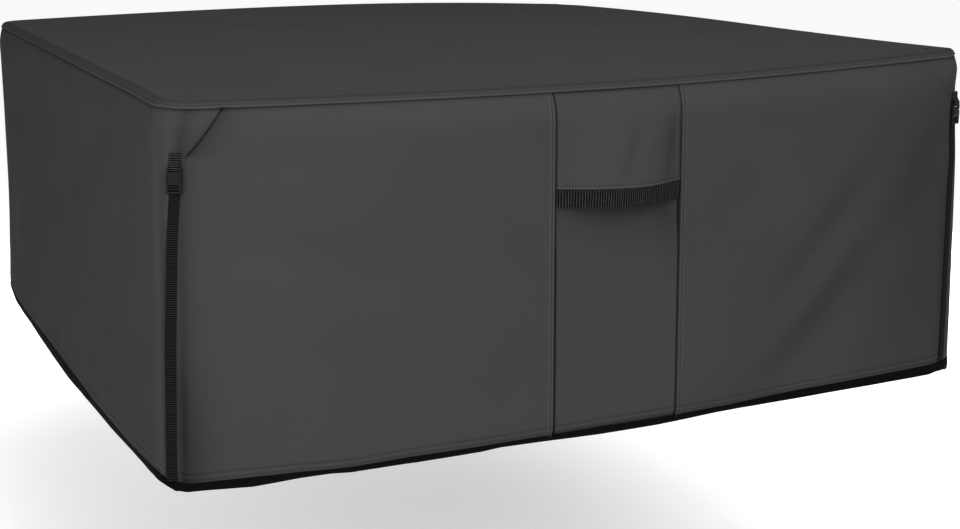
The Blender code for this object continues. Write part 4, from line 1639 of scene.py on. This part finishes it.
@dataclass
class CornerWebbing:
    """The long strap and the short tab of one corner."""

    frame: CornerFrame
    thickness: float = 0.0015
    width: float = 0.0200
    rib: float = 0.0022
    rib_height: float = 0.00016
    strap_low: float = 0.6828
    taper_drop: float = 0.178
    # the strap's way through the plug, in u and h
    strap_end: tuple[Pair, ...] = (
        (0.0460, 0.0), (0.0425, 0.0002), (0.0405, 0.0012), (0.0398, 0.0030), (0.0393, 0.0068),
        (0.0382, 0.0079), (0.0348, 0.0079), (0.0338, 0.0068), (0.0333, 0.0030), (0.0325, 0.0010),
        (0.0308, 0.0), (0.0288, 0.0),
    )
    tab_way: tuple[Pair, ...] = (
        (-0.0245, 0.0034), (-0.0140, 0.0034), (-0.0100, 0.0054), (-0.0040, 0.0093), (0.0030, 0.0093),
        (0.0050, 0.0087), (0.0060, 0.0070), (0.0060, 0.0025), (0.0052, 0.0008), (0.0030, 0.0),
        (-0.0080, 0.0), (-0.0255, 0.0),
    )

    def strip(self, name: str, way: Sequence[Pair]) -> Thing:
        """Webbing along a way of (u, h), ribbed across, with soft edges.

        Args:
            name: Name of the piece.
            way: Its path over the seat.

        Returns:
            The object.
        """
        coarse = np.array([self.frame.lay(u, h) for u, h in way])
        run = run_of(coarse)
        fine = steps(0.0, run[-1], self.rib / 4)
        middles = on_path(coarse, run, fine)
        for _ in range(3):
            middles[1:-1] = (middles[:-2] + 2 * middles[1:-1] + middles[2:]) / 4
        normals = unit(np.cross(self.frame.across, np.gradient(middles, axis=0)))
        half, thick = self.width / 2, self.thickness
        soft = half - 0.0008
        profile = (
            (-half, 0.25), (-soft, 0.0), (-half * 0.33, 0.0), (half * 0.33, 0.0), (soft, 0.0), (half, 0.25),
            (half, 0.75), (soft, 1.0), (half * 0.5, 1.05), (0.0, 1.05), (-half * 0.5, 1.05), (-soft, 1.0),
            (-half, 0.75),
        )
        rng = np.random.default_rng(3 + self.frame.number)
        knots = steps(0, run[-1] + 0.001, 0.05)
        wander = np.interp(fine, knots, rng.uniform(-1, 1, len(knots)))
        sections = []
        for place, middle, normal, drift in zip(fine, middles, normals, wander):
            rib = self.rib_height * math.sin(2 * math.pi * place / self.rib)
            section = []
            for a, h in profile:
                edge = 0.0003 * drift if abs(a) > half * 0.9 else 0.0
                height = thick * h + rib * (h > 0.9)
                section.append(middle + self.frame.across * (a + edge) + normal * height)
            sections.append(section)
        return sweep(name, np.array(sections), fine, np.array([a for a, _ in profile]))

    def build(self) -> tuple[Thing, Thing]:
        """The strap, from the hem up, and the tab."""
        drops = np.arange(self.strap_low, self.taper_drop, -0.02)
        way = [(float(d) - self.frame.buckle_top, 0.0) for d in drops] + list(self.strap_end)
        strap = self.strip(f"{self.frame.name}_strap_webbing", way)
        tab = self.strip(f"{self.frame.name}_tab_webbing", self.tab_way)
        return strap, tab


# ---------------------------------------------------------------- buckles
class Workbench:
    """Models one plastic piece with Blender's own tools, as by hand."""

    def __init__(self, name: str, size: Sequence[float], place: Sequence[float]) -> None:
        """Adds the block that the piece is cut from.

        Args:
            name: Name of the piece.
            size: Its length on x, y, z.
            place: Its middle.
        """
        bpy.ops.object.select_all(action="DESELECT")
        bpy.ops.mesh.primitive_cube_add(size=1.0, location=place, scale=size)
        self.thing = bpy.context.object
        self.thing.name = self.thing.data.name = name
        bpy.ops.object.transform_apply(location=True, rotation=True, scale=True)
        bpy.ops.object.mode_set(mode="EDIT")

    def pick(self, test: Callable[[Vector], bool], kind: str = "FACE") -> int:
        """Selects faces, edges or vertices by their middle.

        Args:
            test: Says whether a place is taken.
            kind: FACE, EDGE or VERT.

        Returns:
            How many were taken.
        """
        bpy.ops.mesh.select_mode(type=kind)
        bpy.ops.mesh.select_all(action="DESELECT")
        mesh = bmesh.from_edit_mesh(self.thing.data)
        found = 0
        if kind == "FACE":
            items = [(face, face.calc_center_median()) for face in mesh.faces]
        elif kind == "EDGE":
            items = [(edge, (edge.verts[0].co + edge.verts[1].co) / 2) for edge in mesh.edges]
        else:
            items = [(vert, vert.co) for vert in mesh.verts]
        for item, middle in items:
            if test(middle):
                item.select_set(True)
                found += 1
        mesh.select_flush_mode()
        bmesh.update_edit_mesh(self.thing.data)
        return found

    def cut(self, axis: int, places: Iterable[float]) -> None:
        """Bisects the whole piece across an axis at each place."""
        for place in places:
            bpy.ops.mesh.select_mode(type="FACE")
            bpy.ops.mesh.select_all(action="SELECT")
            point, normal = [0.0, 0.0, 0.0], [0.0, 0.0, 0.0]
            point[axis], normal[axis] = place, 1.0
            bpy.ops.mesh.bisect(plane_co=point, plane_no=normal, threshold=1e-7)

    def slot(self, low: Sequence[float], high: Sequence[float]) -> None:
        """Opens a slot through the piece.

        Args:
            low: Its least x and y.
            high: Its greatest x and y.
        """
        self.hollow(lambda v: low[0] < v.x < high[0] and low[1] < v.y < high[1])

    def hollow(self, test: Callable[[Vector], bool]) -> None:
        """Takes away the picked faces above and below, and joins the holes with walls."""
        self.pick(test)
        bpy.ops.mesh.delete(type="FACE")
        bpy.ops.mesh.select_mode(type="EDGE")
        bpy.ops.mesh.select_all(action="DESELECT")
        mesh = bmesh.from_edit_mesh(self.thing.data)
        for edge in mesh.edges:
            if edge.is_boundary:
                edge.select_set(True)
        bmesh.update_edit_mesh(self.thing.data)
        bpy.ops.mesh.bridge_edge_loops()

    def widen(self, test: Callable[[Vector], bool], factor: float) -> None:
        """Scales what is picked across the piece."""
        if self.pick(test, "VERT"):
            bpy.ops.transform.resize(value=(factor, 1.0, 1.0), center_override=(0.0, 0.0, 0.0))

    def press(self, test: Callable[[Vector], bool], inset: float, depth: float) -> None:
        """Insets the picked faces as one and moves them in, or out where depth is minus."""
        if self.pick(test):
            bpy.ops.mesh.inset(thickness=inset, depth=0.0, use_boundary=True)
            bpy.ops.transform.translate(value=(0.0, 0.0, -depth))

    def finish(self, bevel: float) -> Thing:
        """Rounds the edges and leaves edit mode.

        Args:
            bevel: Radius of the rounding.

        Returns:
            The piece.
        """
        bpy.ops.mesh.select_all(action="SELECT")
        bpy.ops.mesh.remove_doubles(threshold=1e-6)
        bpy.ops.mesh.normals_make_consistent(inside=False)
        bpy.ops.object.mode_set(mode="OBJECT")
        rounding = self.thing.modifiers.new("rounding", "BEVEL")
        rounding.width = bevel
        rounding.segments = 3
        rounding.limit_method = "ANGLE"
        rounding.angle_limit = math.radians(30)
        bpy.ops.object.modifier_apply(modifier=rounding.name)
        bpy.ops.object.shade_smooth_by_angle(angle=PLASTIC_SHARP)
        bpy.ops.object.select_all(action="DESELECT")
        return self.thing


@dataclass
class SideReleaseBuckle:
    """A buckle of two mouldings. Own axes: x across, y up from its upper edge, z out of the seat."""

    low: float = 0.0020
    top: float = 0.0075
    half_width: float = 0.0142
    mouth: float = 0.0107
    arm_inside: float = 0.0112
    raised_half: float = 0.0080
    groove_half: float = 0.0034
    socket_end: float = 0.0272
    plug_start: float = 0.0145
    plug_end: float = 0.0458
    tab_slot: Pair = (0.0040, 0.0078)
    strap_slots: tuple[Pair, ...] = ((0.0305, 0.0349), (0.0381, 0.0425))
    slot_half: float = 0.0104

    def socket(self) -> Thing:
        """The half that hangs on the tab: a bar for it, shoulders, a raised middle and a mouth."""
        thick, end = self.top - self.low, self.socket_end
        size, place = (2 * self.half_width, end, thick), (0, -end / 2, self.low + thick / 2)
        bench = Workbench("socket_pattern", size, place)
        near, far = self.tab_slot
        bench.cut(1, [-0.0016, -near, -far, -0.0098, -0.0128, -0.0140, -0.0200, -end + 0.0022])
        halves = (self.slot_half, self.raised_half, self.groove_half)
        bench.cut(0, [-x for x in halves] + list(halves))
        bench.slot((-self.slot_half, -far), (self.slot_half, -near))
        # outline: narrower upper edge, round shoulders, and the mouth between the plug's arms
        outer = self.slot_half + 0.0008
        for y, share in ((0.0, 0.86), (-0.0016, 0.93), (-near, 0.955), (-far, 0.975)):
            bench.widen(lambda v, y=y: abs(v.y - y) < 2 * NEAR and abs(v.x) > outer, share)
        mouth = self.mouth / self.half_width
        bench.widen(lambda v: v.y < -0.0135 and abs(v.x) > outer, mouth)
        bench.widen(lambda v: v.y < -0.0135 and abs(abs(v.x) - self.slot_half) < NEAR, 0.90)
        # a raised, long middle with a groove down it
        low, face = -end + 0.0025, self.top - NEAR
        raised, groove = self.raised_half - NEAR, self.groove_half - NEAR
        bench.press(lambda v: v.z > face and low < v.y < -0.0100 and abs(v.x) < raised, 0.0006, -0.0013)
        proud = self.top + 5 * NEAR
        bench.press(lambda v: v.z > proud and abs(v.x) < groove and v.y < -0.012, 0.0007, 0.0009)
        return bench.finish(0.0006)

    def plug(self) -> Thing:
        """The half on the strap: two arms up beside the mouth, and a ladder of three bars."""
        thick, start, end = self.top - self.low, self.plug_start, self.plug_end
        length = end - start
        size, place = (2 * self.half_width, length, thick), (0, -start - length / 2, self.low + thick / 2)
        bench = Workbench("plug_pattern", size, place)
        slots = [-d for pair in self.strap_slots for d in pair]
        bench.cut(1, [-0.0170, -0.0215, -0.0275, -0.0286] + slots + [-end + 0.0014])
        bench.cut(0, [-self.arm_inside, -self.slot_half, 0.0, self.slot_half, self.arm_inside])
        # the mouth's room between the arms
        bench.hollow(lambda v: abs(v.x) < self.arm_inside - NEAR and v.y > -0.0274)
        for near, far in self.strap_slots:
            bench.slot((-self.slot_half, -far), (self.slot_half, -near))
        # arms bow out to the finger pads, and the lower edge is rounded off
        outer = self.half_width - NEAR
        for y, share in ((-start, 0.955), (-0.0170, 1.0), (-0.0215, 1.025), (-0.0275, 1.0), (-end, 0.95)):
            bench.widen(lambda v, y=y: abs(v.y - y) < 3 * NEAR and abs(v.x) > outer, share)
        # thumb grooves on the arms
        arm, face = self.arm_inside + NEAR, self.top - NEAR
        bench.press(lambda v: v.z > face and abs(v.x) > arm and -0.0274 < v.y < -0.0171, 0.0004, 0.0007)
        return bench.finish(0.0006)

    def place(self, pattern: Thing, corner: CornerFrame, name: str) -> Thing:
        """A copy of a pattern in a corner's frame, with its own mesh.

        Args:
            pattern: The moulding as modelled.
            corner: Where it goes.
            name: The copy's name.

        Returns:
            The copy.
        """
        copy = pattern.copy()
        copy.data = pattern.data.copy()
        copy.name = copy.data.name = name
        copy.data.transform(corner.matrix())
        copy.data.update()
        bpy.context.scene.collection.objects.link(copy)
        return copy


# ---------------------------------------------------------------- stitches
@dataclass
class Stitching:
    """Rows of separate stitches along paths on the cloth."""

    pitch: float = 0.0042
    length: float = 0.0032
    width: float = 0.0007
    height: float = 0.0005
    look: float = 0.001

    def build(self, name: str, paths: Iterable[tuple[Array, Outwards]]) -> Thing:
        """Makes one piece of all the stitches.

        Args:
            name: Name of the piece.
            paths: Each a path and a function that gives outward directions at places.

        Returns:
            The object.
        """
        points, faces = [], []
        tips = np.array([[-1, 0, 0], [-0.55, 1, 0], [-0.55, 0, 1], [-0.55, -1, 0], [-0.55, 0, -1],
                         [0.55, 1, 0], [0.55, 0, 1], [0.55, -1, 0], [0.55, 0, -1], [1, 0, 0]], float)
        tips = tips * np.array([self.length / 2, self.width / 2, self.height / 2])
        fan = [(0, 2, 1), (0, 3, 2), (0, 4, 3), (0, 1, 4), (9, 5, 6), (9, 6, 7), (9, 7, 8), (9, 8, 5)]
        tube = [(1, 2, 6), (1, 6, 5), (2, 3, 7), (2, 7, 6), (3, 4, 8), (3, 8, 7), (4, 1, 5), (4, 5, 8)]
        shape = np.array(fan + tube)
        for path, outwards in paths:
            run = run_of(path)
            marks = np.arange(self.pitch / 2, run[-1], self.pitch)
            middles = on_path(path, run, marks)
            along = unit(on_path(path, run, marks + self.look) - on_path(path, run, marks - self.look))
            normal = outwards(middles)
            aside = unit(np.cross(normal, along))
            normal = np.cross(along, aside)
            base = np.stack([along, aside, normal], axis=1)
            every = middles[:, None, :] + np.einsum("tk,nkc->ntc", tips, base)
            first = len(tips) * sum(len(block) for block in points)
            starts = first + len(tips) * np.arange(len(marks))
            points.append(every)
            faces.append((shape[None] + starts[:, None, None]).reshape(-1, 3))
        vertices = np.concatenate([block.reshape(-1, 3) for block in points])
        mesh = bpy.data.meshes.new(name)
        mesh.from_pydata(vertices, [], np.concatenate(faces).tolist())
        mesh.update()
        mesh.shade_smooth()
        return add_object(name, mesh)


def upwards(places: Array) -> Array:
    """Outward directions on the top."""
    return np.tile([0.0, 0.0, 1.0], (len(places), 1))


def sideways(places: Array) -> Array:
    """Outward directions on the walls: from the cover's axis, across the nearest side."""
    x, y = places[:, 0], places[:, 1]
    wide = np.abs(x) > np.abs(y)
    corner = np.minimum(np.abs(x), np.abs(y)) > CORNER_FROM
    flat = np.where(wide[:, None], np.stack([np.sign(x), 0 * x], -1), np.stack([0 * y, np.sign(y)], -1))
    flat = np.where(corner[:, None], np.stack([np.sign(x), np.sign(y)], -1) / math.sqrt(2), flat)
    return np.column_stack([flat, np.zeros(len(places))])


# ---------------------------------------------------------------- studio
@dataclass(frozen=True)
class SoftLight:
    """A square soft light: where it stands, what it faces, its side, and its power in watts."""

    name: str
    place: Triple
    aim: Triple
    size: float
    power: float

    def build(self) -> None:
        """Adds the light."""
        lamp = bpy.data.lights.new(self.name, "AREA")
        lamp.shape = "SQUARE"
        lamp.size = self.size
        lamp.energy = self.power
        turn = (Vector(self.aim) - Vector(self.place)).to_track_quat("-Z", "Y").to_matrix().to_4x4()
        thing = add_object(self.name, lamp)
        thing.matrix_world = Matrix.Translation(Vector(self.place)) @ turn


@dataclass
class Studio:
    """Plain floor, soft light and the camera."""

    floor_level: float = -1.5
    floor_size: float = 500.0
    camera_place: Triple = (-1.5467, -3.5685, 0.3535)
    yaw: float = 25.336
    pitch: float = 13.883
    roll: float = -0.155
    focal_pixels: float = 1542.8
    frame_width: int = 960
    sensor: float = 36.0
    sky: float = 0.30
    sun_turn: float = 6.0
    sun_height: float = 38.0
    sun_spread: float = 40.0
    sun_strength: float = 2.05
    far: float = 200.0
    # the last two are low, so that they reach the walls behind and not the top
    soft_lights: tuple[SoftLight, ...] = (
        SoftLight("top_light", (0.0, -1.6, 3.2), (0.0, -0.5, 0.0), 2.0, 86.0),
        SoftLight("left_fill", (-3.0, -2.0, 0.7), (-0.95, -0.6, -0.35), 1.2, 26.0),
        SoftLight("corner_fill", (-2.3, -3.2, 1.0), (-0.95, -0.8, -0.4), 1.2, 33.0),
        SoftLight("right_fill", (4.6, 2.4, -0.6), (0.9, 0.5, -0.4), 1.0, 80.0),
        SoftLight("rear_fill", (-0.2, 4.8, -0.6), (0.0, 0.9, -0.4), 1.0, 80.0),
    )

    def build_floor(self, material: Material) -> None:
        """The floor, wide enough to reach past every view."""
        bpy.ops.object.select_all(action="DESELECT")
        bpy.ops.mesh.primitive_plane_add(size=self.floor_size, location=(0, 0, self.floor_level))
        floor = bpy.context.object
        floor.name = floor.data.name = "studio_floor"
        bpy.ops.object.transform_apply(location=True, rotation=True, scale=True)
        floor.data.materials.append(material)
        bpy.ops.object.select_all(action="DESELECT")

    def build_lights(self) -> None:
        """Pale surroundings, a wide key light from the front, one over the top, and fills round the walls."""
        world = bpy.data.worlds.new("white_room")
        world.use_nodes = True
        background = world.node_tree.nodes["Background"]
        background.inputs[0].default_value = (1.0, 1.0, 1.0, 1.0)
        background.inputs[1].default_value = self.sky
        bpy.context.scene.world = world
        lamp = bpy.data.lights.new("key", "SUN")
        lamp.energy = self.sun_strength
        lamp.angle = math.radians(self.sun_spread)
        turn, height = math.radians(self.sun_turn), math.radians(self.sun_height)
        flat = math.cos(height)
        way = Vector((flat * math.sin(turn), -flat * math.cos(turn), math.sin(height)))
        add_object("key", lamp).rotation_euler = way.to_track_quat("Z", "Y").to_euler()
        for light in self.soft_lights:
            light.build()

    def build_camera(self) -> None:
        """The camera, with the photograph's place, aim and focal length."""
        lens = bpy.data.cameras.new("camera")
        lens.sensor_width = self.sensor
        lens.sensor_fit = "HORIZONTAL"
        lens.lens = self.focal_pixels * self.sensor / self.frame_width
        lens.clip_end = self.far
        turns = ((-self.yaw, "Z"), (90 - self.pitch, "X"), (self.roll, "Z"))
        yaw, pitch, roll = (Matrix.Rotation(math.radians(degrees), 3, axis) for degrees, axis in turns)
        thing = add_object("camera", lens)
        thing.location = self.camera_place
        thing.rotation_euler = (yaw @ pitch @ roll).to_euler()
        bpy.context.scene.camera = thing

    def build(self, floor: Material) -> None:
        """Floor, lights, camera and the view transform."""
        self.build_floor(floor)
        self.build_lights()
        self.build_camera()
        bpy.context.scene.view_settings.view_transform = "Standard"


# ---------------------------------------------------------------- the whole cover
@dataclass
class Cover:
    """All the pieces of the cover, built and dressed in order."""

    form: CoverForm
    finishes: Wardrobe
    stitching: Stitching = field(default_factory=Stitching)

    def build_top(self) -> None:
        """The top and its stitches."""
        top = TopPanel(self.form)
        piece = dress(top.build(), self.finishes.cloth, ["top_panel"])
        self.sew("top_stitches", [(path, upwards) for path in top.stitch_paths()])
        LOG.info("top panel")

    def build_skirt(self) -> None:
        """The six wall panels and their stitches."""
        for panel in Skirt(self.form).panels():
            piece = dress(panel.build(), self.finishes.cloth, [panel.name])
            self.sew(f"{panel.name}_stitches", [(path, sideways) for path in panel.stitch_paths()])
            LOG.info("%s", panel.name)

    def build_vent(self) -> None:
        """The flap, its stitches and the handle."""
        vent = VentFlap(self.form)
        piece = dress(vent.build(), self.finishes.cloth, ["vent_flap"])
        self.sew("vent_flap_stitches", [(path, sideways) for path in vent.stitch_paths()])
        dress(vent.build_handle(), self.finishes.handle, ["vent_handle"])
        LOG.info("vent flap and handle")

    def build_binding(self) -> None:
        """The folded tape of each side."""
        for side in Side:
            binding = HemBinding(self.form, side)
            dress(binding.build(), self.finishes.tape, [binding.node])
            LOG.info("%s", binding.node)

    def build_corners(self) -> None:
        """Straps, tabs and buckles."""
        buckle = SideReleaseBuckle()
        socket, plug = buckle.socket(), buckle.plug()
        for number in range(4):
            corner = CornerFrame(self.form, number)
            strap, tab = CornerWebbing(corner).build()
            dress(strap, self.finishes.strap, [f"{corner.name}_strap"])
            dress(tab, self.finishes.tab, [f"{corner.name}_tab"])
            for pattern, part in ((socket, "socket"), (plug, "plug")):
                piece = buckle.place(pattern, corner, f"{corner.name}_{part}_moulding")
                dress(piece, self.finishes.plastic, [f"{corner.name}_buckle_{part}"])
            LOG.info("%s corner", corner.name)
        for pattern in (socket, plug):
            bpy.data.objects.remove(pattern)

    def sew(self, name: str, paths: list[tuple[Array, Outwards]]) -> None:
        """Adds rows of stitches as one piece."""
        dress(self.stitching.build(name, paths), self.finishes.thread)

    def build(self) -> None:
        """Builds everything."""
        self.build_top()
        self.build_skirt()
        self.build_vent()
        self.build_binding()
        self.build_corners()


def main() -> None:
    """Builds the studio and the cover."""
    logging.basicConfig(level=logging.INFO, format="%(message)s")
    finishes = Wardrobe()
    Studio().build(finishes.floor)
    Cover(CoverForm(), finishes).build()


if __name__ == "__main__":
    main()
